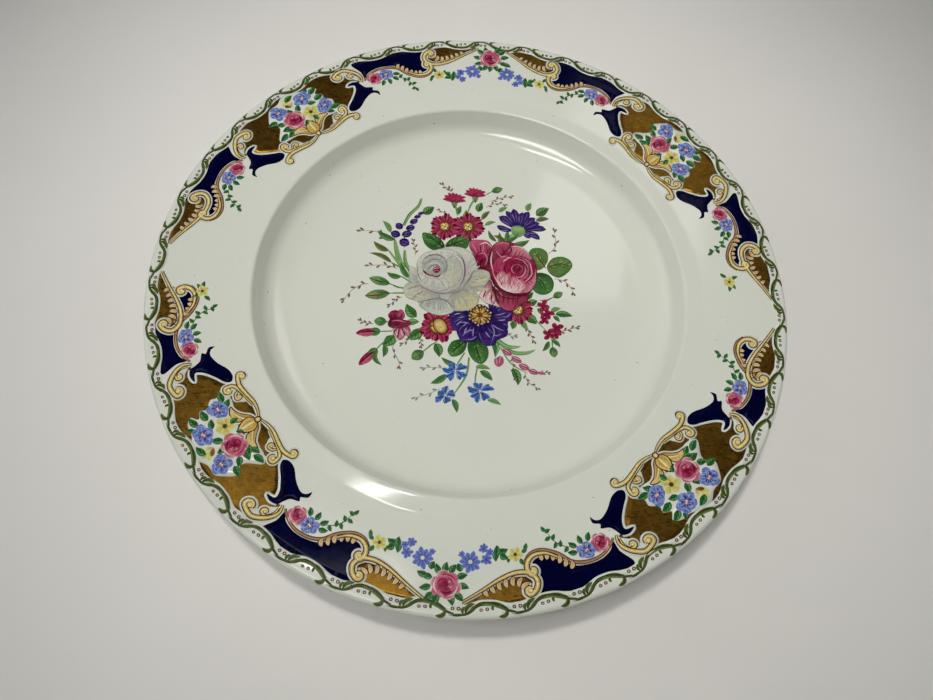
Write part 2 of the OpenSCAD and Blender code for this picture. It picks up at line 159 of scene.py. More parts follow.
def glaze_outline():
    """The glazed surface from the centre of the well over the lip to the foot ring's outer face."""
    runs = (
        arc(floor_c, FLOOR_ROUND, -QUARTER, HEEL_SLOPE - QUARTER, 16)
        + arc(heel_c, HEEL_ROUND, HEEL_SLOPE - QUARTER, WALL_SLOPE - QUARTER, 20)[1:],
        arc(verge_c, VERGE_ROUND, QUARTER + WALL_SLOPE, QUARTER + BAND_SLOPE, 14),
        arc(bend_c, BEND_ROUND, BAND_SLOPE - QUARTER, RIM_SLOPE - QUARTER, 14),
        arc(lip_c, LIP_R, QUARTER + RIM_SLOPE, UNDER_SLOPE - QUARTER, 28),
        arc(under_c, UNDER_ROUND, QUARTER + UNDER_SLOPE, QUARTER + UNDER_WALL, 14),
        arc(foot_c, FOOT_FILLET, QUARTER + UNDER_WALL, 2 * QUARTER, 6))
    path = [(0, FLOOR_Z)] + between((0, FLOOR_Z), runs[0][0], 24)
    for run, following in zip(runs, runs[1:]):
        path += run + between(run[-1], following[0], 6)
    well_end = next(i for i, p in enumerate(path) if p[0] > DISH_END)
    path[:well_end] = [(r, z + dish(r)) for r, z in path[:well_end]]
    return path + runs[-1] + [(FOOT_RO, BARE_Z)]


def glaze_under():
    """The glazed underside inside the foot ring."""
    fillet = arc(Vector((FOOT_RI - FOOT_FILLET, BASE_Z - FOOT_FILLET)), FOOT_FILLET, 0, QUARTER, 8)
    return [(FOOT_RI, BARE_Z)] + fillet + between(fillet[-1], (0, BASE_Z), 8) + [(0, BASE_Z)]


def surface_z(x, y):
    """Height of the glaze under a painted point: on the well's floor or on the rim."""
    r = math.hypot(x, y)
    if r < floor_c.x:
        return FLOOR_Z + dish(r)
    if r < bend_c.x + BEND_ROUND * math.sin(RIM_SLOPE):
        return bend_c.y - math.sqrt(BEND_ROUND ** 2 - (r - bend_c.x) ** 2)
    if r <= rim_top.x:
        return rim_top.y + (r - rim_top.x) * math.tan(RIM_SLOPE)
    return lip_c.y + math.sqrt(max(LIP_R ** 2 - (r - lip_c.x) ** 2, 0))


# ---- colour ----

SHEEN = 0.006         # what the glossy surface adds to every colour
ROOM = 0.76           # how bright a perfectly white surface would look in the room


def linear(code):
    """A colour as it looks in the room's light, as three linear values."""
    parts = [int(code[i:i + 2], 16) / 255 for i in (0, 2, 4)]
    return [p / 12.92 if p <= 0.04045 else ((p + 0.055) / 1.055) ** 2.4 for p in parts]


def ink(code):
    """The reflectance that makes a painted colour look as it does beside the white glaze."""
    return tuple(min(0.92, max(v - SHEEN, 0.0004) / ROOM) for v in linear(code))


def mix(a, b, t):
    return tuple(x + (y - x) * t for x, y in zip(a, b))


INK = {name: ink(code) for name, code in {
    "crimson_dark": "490920", "crimson": "7a1734", "pink": "963e54", "pink_light": "b07682",
    "pink_pale": "c8b0ac", "rose": "a84a64", "magenta": "861f42",
    "green_dark": "1f381a", "green": "3d6a33", "green_light": "789a62", "olive": "525f30",
    "olive_dark": "38341a", "olive_light": "82905a", "bud_green": "64804e", "brown_green": "44321c",
    "violet_dark": "1d1240", "violet": "382460", "violet_light": "64558a", "violet_pale": "9088a8",
    "blue_dark": "1a2f60", "blue": "34528a", "blue_light": "5c7cae", "blue_pale": "a0b0c2",
    "aster": "4c5a9c", "aster_dark": "2e3876", "aster_light": "808ab8",
    "yellow": "b08c3c", "yellow_light": "c4b070", "yellow_pale": "c4c09c", "ochre": "8a5c24",
    "lemon": "b0ae60", "lemon_pale": "c2c492",
    "brown": "583820", "brown_dark": "34200f", "sprig": "7c6a5a", "sprig_dark": "584238",
    "grey": "868680", "grey_dark": "6a6a66", "pearl": "9a9a90", "pearl_light": "b2b2a6",
    "cream": "a9a892", "cream_yellow": "b0ab82", "mauve": "7c4c62", "heart": "641032",
    "scroll": "b49e5c", "scroll_light": "d0c492", "scroll_dark": "90702f", "outline": "3e220f",
    "arch": "62422a", "arch_light": "94785a",
    "vine": "404a26", "vine_dark": "272c15", "vine_light": "667340",
    "leaf": "2c6030", "leaf_dark": "153c1e", "leaf_light": "5e8c56",
    "white": "c0c0b8", "glaze": "c0c0b6",
}.items()}


# ---- paint: every stroke, petal and leaf is a thin closed solid fired onto the glaze ----

SINK = 0.02          # mm that an enamel reaches into the glaze
FIRST_LIFT = 0.018   # mm from the glaze to the lowest enamel's top
EACH_LIFT = 0.0012   # mm from each stroke to the next one over it
CELL_GAP = 0.12      # mm between strokes in the unwrapped layout
DOME = 0.001         # mm that a petal, leaf or dot swells in its middle
STROKE_DOME = 0.0008
PETAL_STEPS = 8      # sections along a petal or leaf
PETAL_ROOT = 0.12    # how wide a petal starts, as a share of its width
LEAF_FAR = 0.8       # under 1 moves a leaf's widest place towards its base


def spline(points, steps, closed=False):
    """A smooth curve through given points."""
    n = len(points)
    out = []
    for i in range(n if closed else n - 1):
        a = points[(i - 1) % n] if closed else points[max(i - 1, 0)]
        b, c = points[i], points[(i + 1) % n]
        d = points[(i + 2) % n] if closed else points[min(i + 2, n - 1)]
        for j in range(steps):
            t = j / steps
            out.append(tuple(0.5 * (2 * q + (s - p) * t + (2 * p - 5 * q + 4 * s - w) * t * t
                                    + (3 * q - p - 3 * s + w) * t ** 3)
                             for p, q, s, w in zip(a[:2], b[:2], c[:2], d[:2])))
    return out if closed else out + [tuple(points[-1][:2])]


def turns_right(p, q, s):
    """Whether the path p, q, s turns clockwise, seen from above."""
    return (q[0] - p[0]) * (s[1] - p[1]) - (q[1] - p[1]) * (s[0] - p[0]) < 0


def flat(u, v):
    """Local mm are the plate's own X and Y."""
    return u, v


def rim(angle, side=1):
    """The rim: u runs clockwise from an angle at STRIP_R, or the other way for side -1; v is the radius."""
    def place(u, v):
        a = math.radians(angle) - side * u / STRIP_R
        return v * math.cos(a), v * math.sin(a)
    return place


class Paint:
    """One piece of enamel, made of strokes that each lie a little over the one before."""

    def __init__(self, place=flat):
        self.at(place)
        self.verts, self.faces, self.colours, self.cells = [], [], [], []
        self.face_uv = []

    def at(self, place, lift=FIRST_LIFT):
        """Moves on to another spot, starting again from a low coat."""
        self.place, self.lift = place, lift
        return self

    def add(self, points, faces, edge, colours, turn, dome=None):
        """points: local (u, v); faces: the top; edge: its outline in order; turn: angle of its long way."""
        start, n = len(self.verts), len(points)
        plan = [self.place(*p) for p in points]
        for i, (x, y) in enumerate(plan):
            raised = self.lift + (dome[i] if dome else 0)
            self.verts.append((x * MM, y * MM, (surface_z(x, y) + raised) * MM))
        self.verts += [(x * MM, y * MM, (surface_z(x, y) - SINK) * MM) for x, y in plan]
        self.colours += list(colours) * 2
        c, s = math.cos(-turn), math.sin(-turn)
        cell = [(x * c - y * s, x * s + y * c) for x, y in plan]
        low = [min(q[k] for q in cell) for k in (0, 1)]
        cell = [(q[0] - low[0], q[1] - low[1]) for q in cell]
        self.cells.append(tuple(max(q[k] for q in cell) for k in (0, 1)))
        sides = [[b, a, a + n, b + n] for a, b in zip(edge, edge[1:] + edge[:1])]
        for f in list(faces) + [[i + n for i in reversed(f)] for f in faces] + sides:
            self.faces.append([start + i for i in f])
            self.face_uv.append((len(self.cells) - 1, [cell[i % n] for i in f]))
        self.lift += EACH_LIFT

    def ribbon(self, spine, widths, colour, across=(-1, -0.5, 0, 0.5, 1), dome=0.0):
        """A band along spine; widths are half widths, and colour(t, k) is asked along and across."""
        m, columns = len(spine), len(across)
        points, colours, raised = [], [], []
        for i, (u, v) in enumerate(spine):
            p, q = spine[max(i - 1, 0)], spine[min(i + 1, m - 1)]
            du, dv = q[0] - p[0], q[1] - p[1]
            size = math.hypot(du, dv) or 1
            for k in across:
                off = widths[i] * k
                points.append((u - dv / size * off, v + du / size * off))
                colours.append(colour(i / (m - 1), k))
                raised.append(dome * (1 - k * k) * min(1, widths[i]))
        faces = [[i * columns + j, (i + 1) * columns + j, (i + 1) * columns + j + 1, i * columns + j + 1]
                 for i in range(m - 1) for j in range(columns - 1)]
        loop = ([i * columns for i in range(m)]
                + [(m - 1) * columns + j for j in range(1, columns)]
                + [i * columns + columns - 1 for i in reversed(range(m - 1))]
                + [j for j in reversed(range(1, columns - 1))])
        a, b = self.place(*spine[0]), self.place(*spine[-1])
        if turns_right(*(self.place(*points[k]) for k in (0, columns, 1))):
            faces = [f[::-1] for f in faces]
            loop = loop[::-1]
        self.add(points, faces, loop, colours, math.atan2(b[1] - a[1], b[0] - a[0]), raised)

    def stroke(self, points, width, tone, end=None, taper=(0.15, 0.15), steps=4):
        """A brush line through points; taper is how thin its start and end are, as shares of width."""
        spine = spline(points, steps)
        a, b = INK[tone], INK[end or tone]
        n = len(spine) - 1
        widths = []
        for i in range(n + 1):
            t = i / n
            if t < 0.5:
                share = taper[0] + (1 - taper[0]) * math.sin(math.pi * t)
            else:
                share = taper[1] + (1 - taper[1]) * math.sin(math.pi * t)
            widths.append(max(width / 2 * share, 0.02))
        self.ribbon(spine, widths, lambda t, k: mix(a, b, t), (-1, 0, 1), STROKE_DOME)

    def petal(self, base, tip, width, tones, bend=0.0, full=0.6, far=1.25):
        """A rounded petal from base to tip. tones: at its base, its middle and its edge."""
        (u0, v0), (u1, v1) = base, tip
        du, dv = u1 - u0, v1 - v0
        spine, widths = [], []
        for i in range(PETAL_STEPS + 1):
            t = i / PETAL_STEPS
            sway = bend * math.sin(math.pi * t)
            spine.append((u0 + du * t - dv * sway, v0 + dv * t + du * sway))
            share = math.sin(math.pi * min(1, t ** far)) ** full if 0 < t < 1 else 0
            widths.append(max(width / 2 * (share + PETAL_ROOT * (1 - t) ** 3), 0.03))
        heart, middle, edge = (INK[x] for x in tones)

        def colour(t, k):
            inner = mix(heart, middle, min(1, t * 1.6))
            return mix(inner, edge, min(1, (abs(k) ** 2.2) * 0.8 + 0.5 * max(0, t - 0.75) * 4 * 0.5))
        self.ribbon(spine, widths, colour, (-1, -0.7, -0.3, 0, 0.3, 0.7, 1), DOME)

    def leaf(self, base, tip, width, tones=("leaf_dark", "leaf", "leaf_light"), bend=0.0, veins=3):
        """A pointed leaf with one half lighter, a dark midrib and side veins."""
        (u0, v0), (u1, v1) = base, tip
        du, dv = u1 - u0, v1 - v0
        steps = PETAL_STEPS

        def at(t, side=0.0):
            sway = bend * math.sin(math.pi * t)
            half = width / 2 * math.sin(math.pi * t ** LEAF_FAR) ** 0.85 if 0 < t < 1 else 0
            size = math.hypot(du, dv)
            across = side * half / size
            return (u0 + du * t - dv * (sway + across), v0 + dv * t + du * (sway + across))
        spine = [at(i / steps) for i in range(steps + 1)]
        widths = [max(width / 2 * math.sin(math.pi * (i / steps) ** LEAF_FAR) ** 0.85, 0.03)
                  if 0 < i < steps else 0.03 for i in range(steps + 1)]
        dark, middle, light = (INK[x] for x in tones)

        def colour(t, k):
            side = mix(middle, light, 0.55 * (1 - t * 0.4)) if k > 0.05 else middle
            return mix(side, dark, min(1, abs(k) ** 3 * 0.75 + (0.55 if abs(k) < 0.05 else 0)))
        self.ribbon(spine, widths, colour, (-1, -0.6, 0, 0.6, 1), DOME)
        if veins:
            fine = min(0.22, 0.07 * width + 0.05)
            self.stroke([at(0), at(0.5), at(0.97)], fine * 1.3, tones[0])
            for i in range(veins):
                t = 0.18 + 0.6 * i / veins
                for side in (-1, 1):
                    self.stroke([at(t), at(t + 0.14, side * 0.45), at(t + 0.2, side * 0.82)], fine,
                                tones[0] if side < 0 else tones[2], steps=3)

    def dot(self, c, r, inner, edge=None, stretch=1.0, turn=0.0, n=12):
        """A round or oval touch of colour."""
        a, b = INK[inner], INK[edge or inner]
        points, colours, raised = [c], [a], [DOME * min(1, r)]
        ct, st = math.cos(math.radians(turn)), math.sin(math.radians(turn))
        for ring in (0.6, 1.0):
            for i in range(n):
                w = 2 * math.pi * i / n
                x, y = r * ring * stretch * math.cos(w), r * ring * math.sin(w)
                points.append((c[0] + x * ct - y * st, c[1] + x * st + y * ct))
                colours.append(mix(a, b, ring ** 2))
                raised.append(DOME * min(1, r) * (1 - ring ** 2))
        faces = [[0, 1 + i, 1 + (i + 1) % n] for i in range(n)]
        faces += [[1 + i, 1 + n + i, 1 + n + (i + 1) % n, 1 + (i + 1) % n] for i in range(n)]
        loop = [1 + n + i for i in range(n)]
        if turns_right(*(self.place(*points[k]) for k in (0, 1, 2))):
            faces = [f[::-1] for f in faces]
            loop = loop[::-1]
        self.add(points, faces, loop, colours, math.radians(turn), raised)

    def area(self, outline, colour, grid=2.5, steps=4):
        """A filled outline of any size, meshed finely enough to lie on the rim. colour(u, v) is asked."""
        loop = [Vector(p) for p in spline(outline, steps, closed=True)]
        u0, u1 = min(p.x for p in loop), max(p.x for p in loop)
        v0, v1 = min(p.y for p in loop), max(p.y for p in loop)
        inner = []
        for i in range(1, int((u1 - u0) / grid) + 1):
            for j in range(1, int((v1 - v0) / grid) + 1):
                p = Vector((u0 + i * grid, v0 + j * grid))
                crossings, near = 0, 9e9
                for a, b in zip(loop, loop[1:] + loop[:1]):
                    if (a.y > p.y) != (b.y > p.y) and p.x < a.x + (p.y - a.y) / (b.y - a.y) * (b.x - a.x):
                        crossings += 1
                    near = min(near, (p - a).length)
                if crossings % 2 and near > grid * 0.35:
                    inner.append(p)
        n = len(loop)
        verts, _, faces, origin, _, _ = delaunay_2d_cdt(loop + inner, [], [list(range(n))], 1, 1e-6)
        index = {}
        for k, source in enumerate(origin):
            for o in source:
                index[o] = k
        edge = []
        for i in range(n):
            if not edge or edge[-1] != index[i]:
                edge.append(index[i])
        points = [(p.x, p.y) for p in verts]
        faces = [list(f) for f in faces]
        if turns_right(*(self.place(*points[k]) for k in faces[0])):
            faces = [f[::-1] for f in faces]
        doubled = sum(points[edge[i]][0] * points[edge[(i + 1) % len(edge)]][1]
                      - points[edge[(i + 1) % len(edge)]][0] * points[edge[i]][1] for i in range(len(edge)))
        flipped = turns_right(*(self.place(*w) for w in ((0, 100), (1, 100), (0, 101))))
        if (doubled < 0) != flipped:
            edge = edge[::-1]
        self.add(points, faces, edge, [colour(*p) for p in points], 0.0)

    def piece(self, name, material, *nodes):
        """Makes the mesh with its colours and its unwrapped layout, and settles it."""
        mesh = bpy.data.meshes.new(name)
        mesh.from_pydata(self.verts, [], self.faces)
        layer = mesh.color_attributes.new("paint", "FLOAT_COLOR", "POINT")
        layer.data.foreach_set("color", [v for c in self.colours for v in (*c, 1.0)])
        origins, span = packed(self.cells)
        uv = mesh.uv_layers.new(name="OFBake")
        flat_uv = []
        for owner, corners in self.face_uv:
            ou, ov = origins[owner]
            for cu, cv in corners:
                flat_uv += [(ou + cu) / span, (ov + cv) / span]
        uv.data.foreach_set("uv", flat_uv)
        mesh.polygons.foreach_set("use_smooth", [True] * len(self.faces))
        mesh.materials.append(material)
        mesh.validate()
        return settle(name, mesh, *nodes)


def packed(cells):
    """Rows of cells in a square: the corner of each, and the square's side."""
    order = sorted(range(len(cells)), key=lambda i: -cells[i][1])
    whole = sum((w + CELL_GAP) * (h + CELL_GAP) for w, h in cells)
    span = max(math.sqrt(whole) * 1.02, max(max(c) for c in cells) + 2 * CELL_GAP)
    while True:
        origins, u, v, row = {}, CELL_GAP, CELL_GAP, 0.0
        for i in order:
            w, h = cells[i]
            if u + w + CELL_GAP > span:
                u, v, row = CELL_GAP, v + row + CELL_GAP, 0.0
            origins[i] = (u, v)
            u += w + CELL_GAP
            row = max(row, h)
        if v + row + CELL_GAP <= span:
            return origins, span
        span *= 1.03


def settle(name, mesh, *nodes):
    """Links a piece, which rides on the plate and stands for the CAD nodes named."""
    piece = bpy.data.objects.new(name, mesh)
    bpy.context.scene.collection.objects.link(piece)
    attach(piece, ROOT)
    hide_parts(*nodes)
    return piece


# ---- materials ----

def node_material(name, rough, specular=0.5, metallic=0.0):
    """A new material: its node tree, its Principled shader and Object coordinates."""
    mat = bpy.data.materials.new(name)
    mat.use_nodes = True
    nt = mat.node_tree
    bsdf = nt.nodes["Principled BSDF"]
    bsdf.inputs["Roughness"].default_value = rough
    bsdf.inputs["Specular IOR Level"].default_value = specular
    bsdf.inputs["Metallic"].default_value = metallic
    coords = nt.nodes.new("ShaderNodeTexCoord").outputs["Object"]
    return mat, nt, bsdf, coords


def noise(nt, coords, scale, detail=3.0, stretch=None, turn=0.0, distortion=0.0):
    """A noise pattern from 0 to 1, stretched along one axis for brush marks and scratches."""
    if stretch:
        mapping = nt.nodes.new("ShaderNodeMapping")
        mapping.inputs["Scale"].default_value = stretch
        mapping.inputs["Rotation"].default_value = (0, 0, turn)
        nt.links.new(coords, mapping.inputs["Vector"])
        coords = mapping.outputs["Vector"]
    n = nt.nodes.new("ShaderNodeTexNoise")
    n.inputs["Scale"].default_value = scale
    n.inputs["Detail"].default_value = detail
    n.inputs["Distortion"].default_value = distortion
    nt.links.new(coords, n.inputs["Vector"])
    return n.outputs["Fac"]


def ramp(nt, value, low, high, out_low=0.0, out_high=1.0):
    """Maps low..high to out_low..out_high and stops at both ends."""
    r = nt.nodes.new("ShaderNodeMapRange")
    r.inputs["From Min"].default_value = low
    r.inputs["From Max"].default_value = high
    r.inputs["To Min"].default_value = out_low
    r.inputs["To Max"].default_value = out_high
    nt.links.new(value, r.inputs["Value"])
    return r.outputs["Result"]


def blend_colours(nt, amount, a, b):
    """A mix node from a to b; each of the three is a socket or a constant."""
    m = nt.nodes.new("ShaderNodeMix")
    m.data_type = "RGBA"
    for name, source in (("Factor_Float", amount), ("A_Color", a), ("B_Color", b)):
        socket = next(s for s in m.inputs if s.identifier == name)
        if isinstance(source, bpy.types.NodeSocket):
            nt.links.new(source, socket)
        elif name == "Factor_Float":
            socket.default_value = source
        else:
            socket.default_value = (*source, 1.0)
    return next(s for s in m.outputs if s.identifier == "Result_Color")


def bump(nt, bsdf, height, strength, distance):
    """Fine relief; distance is in metres."""
    b = nt.nodes.new("ShaderNodeBump")
    b.inputs["Strength"].default_value = strength
    b.inputs["Distance"].default_value = distance
    nt.links.new(height, b.inputs["Height"])
    nt.links.new(b.outputs["Normal"], bsdf.inputs["Normal"])


def glaze_material():
    """Clear glaze over white porcelain: faint warm and cool clouds, a few kiln specks, fine wear."""
    mat, nt, bsdf, at = node_material("porcelain_glaze", 0.07, 0.5)
    clouds = noise(nt, at, 14, 2)
    base = blend_colours(nt, clouds, GLAZE_WARM, GLAZE_COOL)
    specks = ramp(nt, noise(nt, at, 700, 0), 0.86, 0.90)
    nt.links.new(blend_colours(nt, specks, base, SPECK), bsdf.inputs["Base Color"])
    nt.links.new(ramp(nt, noise(nt, at, 70, 4), 0.35, 0.75, 0.05, 0.11), bsdf.inputs["Roughness"])
    bump(nt, bsdf, noise(nt, at, 45, 1), 0.12, 0.0002)
    return mat


def bisque_material():
    """Unglazed porcelain on the foot ring's seat: matt, a little grey from standing."""
    mat, nt, bsdf, at = node_material("porcelain_bisque", 0.75, 0.3)
    base = blend_colours(nt, ramp(nt, noise(nt, at, 120, 5), 0.35, 0.7), GLAZE_WARM, BISQUE_WORN)
    nt.links.new(base, bsdf.inputs["Base Color"])
    bump(nt, bsdf, noise(nt, at, 2500, 3), 0.3, 0.00005)
    return mat


def enamel_material():
    """Painted enamel: the stroke's own colour, thinner and thicker along the brush, satin gloss."""
    mat, nt, bsdf, at = node_material("painted_enamel", 0.22, 0.2)
    paint = nt.nodes.new("ShaderNodeAttribute")
    paint.attribute_name = "paint"
    thick = ramp(nt, noise(nt, at, 1100, 3, distortion=1.2), 0.3, 0.7, 0.80, 1.12)
    shade = nt.nodes.new("ShaderNodeVectorMath")
    shade.operation = "SCALE"
    nt.links.new(paint.outputs["Color"], shade.inputs[0])
    nt.links.new(thick, shade.inputs["Scale"])
    nt.links.new(shade.outputs["Vector"], bsdf.inputs["Base Color"])
    nt.links.new(ramp(nt, noise(nt, at, 500, 2), 0.3, 0.7, 0.16, 0.34), bsdf.inputs["Roughness"])
    bump(nt, bsdf, noise(nt, at, 1800, 2), 0.15, 0.00003)
    return mat


def cobalt_material():
    """Cobalt ground: almost black blue with a faint brushed mottle under a hard gloss."""
    mat, nt, bsdf, at = node_material("cobalt_enamel", 0.08, 0.05)
    mottle = ramp(nt, noise(nt, at, 260, 5, stretch=(1, 2.5, 1), distortion=0.6), 0.35, 0.7)
    nt.links.new(blend_colours(nt, mottle, COBALT_DEEP, COBALT), bsdf.inputs["Base Color"])
    nt.links.new(ramp(nt, noise(nt, at, 400, 3), 0.3, 0.7, 0.06, 0.11), bsdf.inputs["Roughness"])
    bump(nt, bsdf, noise(nt, at, 600, 2), 0.12, 0.00003)
    return mat


def gold_material():
    """Antique gilding: brown and ochre patches, rubbed by fine wiping scratches in two directions."""
    mat, nt, bsdf, at = node_material("antique_gilding", 0.34, 0.5, metallic=1.0)
    patches = ramp(nt, noise(nt, at, 260, 6, distortion=0.8), 0.28, 0.72)
    base = blend_colours(nt, patches, GOLD_DEEP, GOLD)
    wiped = noise(nt, at, 260, 5, stretch=(1, 3, 1), turn=0.7, distortion=2.0)
    crossed = noise(nt, at, 260, 5, stretch=(3, 1, 1), turn=0.9, distortion=2.0)
    base = blend_colours(nt, ramp(nt, wiped, 0.5, 0.74, 0.0, 0.5), base, GOLD_BRIGHT)
    base = blend_colours(nt, ramp(nt, crossed, 0.54, 0.76, 0.0, 0.35), base, GOLD_WORN)
    nt.links.new(base, bsdf.inputs["Base Color"])
    nt.links.new(ramp(nt, wiped, 0.3, 0.7, 0.24, 0.40), bsdf.inputs["Roughness"])
    bump(nt, bsdf, crossed, 0.18, 0.00004)
    return mat


def floor_material():
    """A pale matt table with a faint uneven tone."""
    mat, nt, bsdf, at = node_material("pale_table", 0.5, 0.3)
    tone = blend_colours(nt, ramp(nt, noise(nt, at, 6, 4), 0.3, 0.7), TABLE_LOW, TABLE_HIGH)
    nt.links.new(tone, bsdf.inputs["Base Color"])
    bump(nt, bsdf, noise(nt, at, 900, 3), 0.1, 0.0001)
    return mat


# Linear reflectances
GLAZE_WARM = (0.675, 0.685, 0.590)
GLAZE_COOL = (0.650, 0.668, 0.590)
SPECK = (0.30, 0.27, 0.22)
BISQUE_WORN = (0.52, 0.50, 0.46)
COBALT_DEEP = (0.0006, 0.0008, 0.014)
COBALT = (0.001, 0.0015, 0.030)
GOLD_DEEP = (0.18, 0.09, 0.012)
GOLD = (0.285, 0.15, 0.02)
GOLD_BRIGHT = (0.41, 0.24, 0.05)
GOLD_WORN = (0.075, 0.036, 0.006)
TABLE_LOW = (0.755, 0.73, 0.685)
TABLE_HIGH = (0.80, 0.775, 0.73)

GLAZE = glaze_material()
ENAMEL = enamel_material()
COBALT_BLUE = cobalt_material()
GILDING = gold_material()


# ---- the plate itself ----

def lathe(name, shells, segments, material, *nodes):
    """Turns closed shells about Z. Each shell is a path that starts and ends on the axis."""
    verts, faces = [], []
    for path in shells:
        rings = []
        for r, z in path:
            if r < 1e-6:
                rings.append([len(verts)])
                verts.append((0, 0, z * MM))
                continue
            rings.append(list(range(len(verts), len(verts) + segments)))
            for i in range(segments):
                a = 2 * math.pi * i / segments
                verts.append((r * math.cos(a) * MM, r * math.sin(a) * MM, z * MM))
        for low, high in zip(rings, rings[1:]):
            for i in range(segments):
                j = (i + 1) % segments
                if len(low) == len(high) == 1:
                    continue
                if len(low) == 1:
                    faces.append([low[0], high[i], high[j]])
                elif len(high) == 1:
                    faces.append([low[j], low[i], high[0]])
                else:
                    faces.append([low[i], high[i], high[j], low[j]])
    mesh = bpy.data.meshes.new(name)
    mesh.from_pydata(verts, [], faces)
    mesh.polygons.foreach_set("use_smooth", [True] * len(faces))
    mesh.materials.append(material)
    mesh.validate()
    return settle(name, mesh, *nodes)


SEGMENTS = 720
GLAZE_DEPTH = 0.15   # mm that the glaze's shell reaches into the plate


def inset(path, depth):
    """The same path moved into the plate by depth, walked back the other way."""
    moved = []
    for i, (r, z) in enumerate(path):
        p, q = path[max(i - 1, 0)], path[min(i + 1, len(path) - 1)]
        d = Vector((q[0] - p[0], q[1] - p[1]))
        if d.length < 1e-9:
            continue
        d.normalize()
        moved.append((max(r + d.y * depth, 0) if r > 1e-6 else 0, z - d.x * depth))
    return moved[::-1]


outer, beneath = glaze_outline(), glaze_under()
lathe("glaze", [outer + inset(outer, GLAZE_DEPTH), inset(beneath, GLAZE_DEPTH) + beneath],
      SEGMENTS, GLAZE, "clear_glaze")
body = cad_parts["porcelain_body"]
body.data.materials.clear()
body.data.materials.append(bisque_material())

# ---- motifs ----

def off(c, r, degrees):
    """The point at distance r from c in a direction."""
    a = math.radians(degrees)
    return c[0] + r * math.cos(a), c[1] + r * math.sin(a)


def wash(p, outline, near, far, degrees, edge=None, line=0.3, streaks=0):
    """A filled petal shaded along a direction, with an outline and brush streaks."""
    a, b = INK[near], INK[far]
    d = (math.cos(math.radians(degrees)), math.sin(math.radians(degrees)))
    reach = [u * d[0] + v * d[1] for u, v in outline]
    low, high = min(reach), max(reach)
    p.area(outline, lambda u, v: mix(a, b, max(0, min(1, (u * d[0] + v * d[1] - low) / (high - low)))), 1.2)
    if streaks:
        mu = sum(u for u, _ in outline) / len(outline)
        mv = sum(v for _, v in outline) / len(outline)
        half = (high - low) / 2
        for i in range(streaks):
            k = (i + 0.5) / streaks - 0.5
            u, v = mu - d[1] * k * half * 1.5, mv + d[0] * k * half * 1.5
            p.stroke([(u - d[0] * half * 0.55, v - d[1] * half * 0.55), (u, v),
                      (u + d[0] * half * 0.5, v + d[1] * half * 0.5)], 0.32, near if i % 2 else far, steps=3)
    if edge:
        p.stroke(outline + outline[:1], line, edge, taper=(0.5, 0.5), steps=3)


def rose(p, c, r, turn=0.0):
    """A small full rose: broad pale outer petals round a crimson, folded heart."""
    p.dot(c, r * 0.9, "rose", "pink", n=14)
    for ring, (count, reach, width) in enumerate(((6, 1.04, 1.05), (5, 0.76, 0.9), (4, 0.5, 0.62))):
        for i in range(count):
            a = turn + 360 * (i + 0.5 * ring) / count
            tones = (("crimson", "pink", "pink_pale"), ("crimson_dark", "rose", "pink_light"),
                     ("crimson_dark", "magenta", "pink"))[(ring + (i % 3 == 2)) % 3]
            p.petal(off(c, r * 0.12, a), off(c, r * reach * (1 - 0.06 * (i % 2)), a), r * width, tones,
                    bend=0.14)
    for a, q, tone in ((20, 0.52, "crimson"), (150, 0.56, "crimson_dark"), (265, 0.5, "crimson"),
                       (60, 0.78, "pink_pale"), (190, 0.8, "pink_pale"), (300, 0.74, "magenta")):
        p.stroke([off(c, r * q, turn + a + k) for k in (0, 28, 56, 80)], r * 0.11, tone)
    p.dot(off(c, r * 0.06, turn), r * 0.2, "heart", "crimson")


def daisy(p, c, r, n, tones, heart, core=0.3, turn=0.0, width=1.0, squash=1.0, lean=0.0):
    """Separate pointed petals round a heart. squash and lean tip it away from the viewer."""
    def spot(radius, a):
        x, y = off((0, 0), radius, a)
        y *= squash
        k, s = math.cos(math.radians(lean)), math.sin(math.radians(lean))
        return c[0] + x * k - y * s, c[1] + x * s + y * k
    for i in range(n):
        a = turn + 360 * i / n
        reach = r * (0.94 + 0.1 * math.sin(i * 2.6))
        p.petal(spot(r * core * 0.6, a), spot(reach, a), width * 2 * math.pi * r * 0.6 / n, tones,
                bend=0.06 * math.sin(i * 1.7))
    p.dot(c, r * core, heart[0], heart[1], stretch=1.0)


def floret(p, c, r, turn=0.0):
    """A five-petalled yellow flower with a brown and green heart."""
    for i in range(5):
        a = turn + 72 * i
        p.petal(off(c, r * 0.1, a), off(c, r * (1.04 - 0.1 * (i % 2)), a), r * 0.8,
                ("yellow", "lemon", "lemon_pale"))
        p.stroke([off(c, r * 0.3, a + 8), off(c, r * 0.8, a + 12)], r * 0.09, "yellow")
    p.dot(c, r * 0.24, "brown_dark", "olive")


def leaf_at(p, c, length, width, degrees, veins=2):
    """A rim leaf centred on c."""
    p.leaf(off(c, -length / 2, degrees), off(c, length / 2, degrees), width, bend=0.08, veins=veins)


def fan(p, centre, spots, length, width):
    """Leaves that point away from a centre."""
    for u, v in spots:
        leaf_at(p, (u, v), length, width, math.degrees(math.atan2(v - centre[1], u - centre[0])))


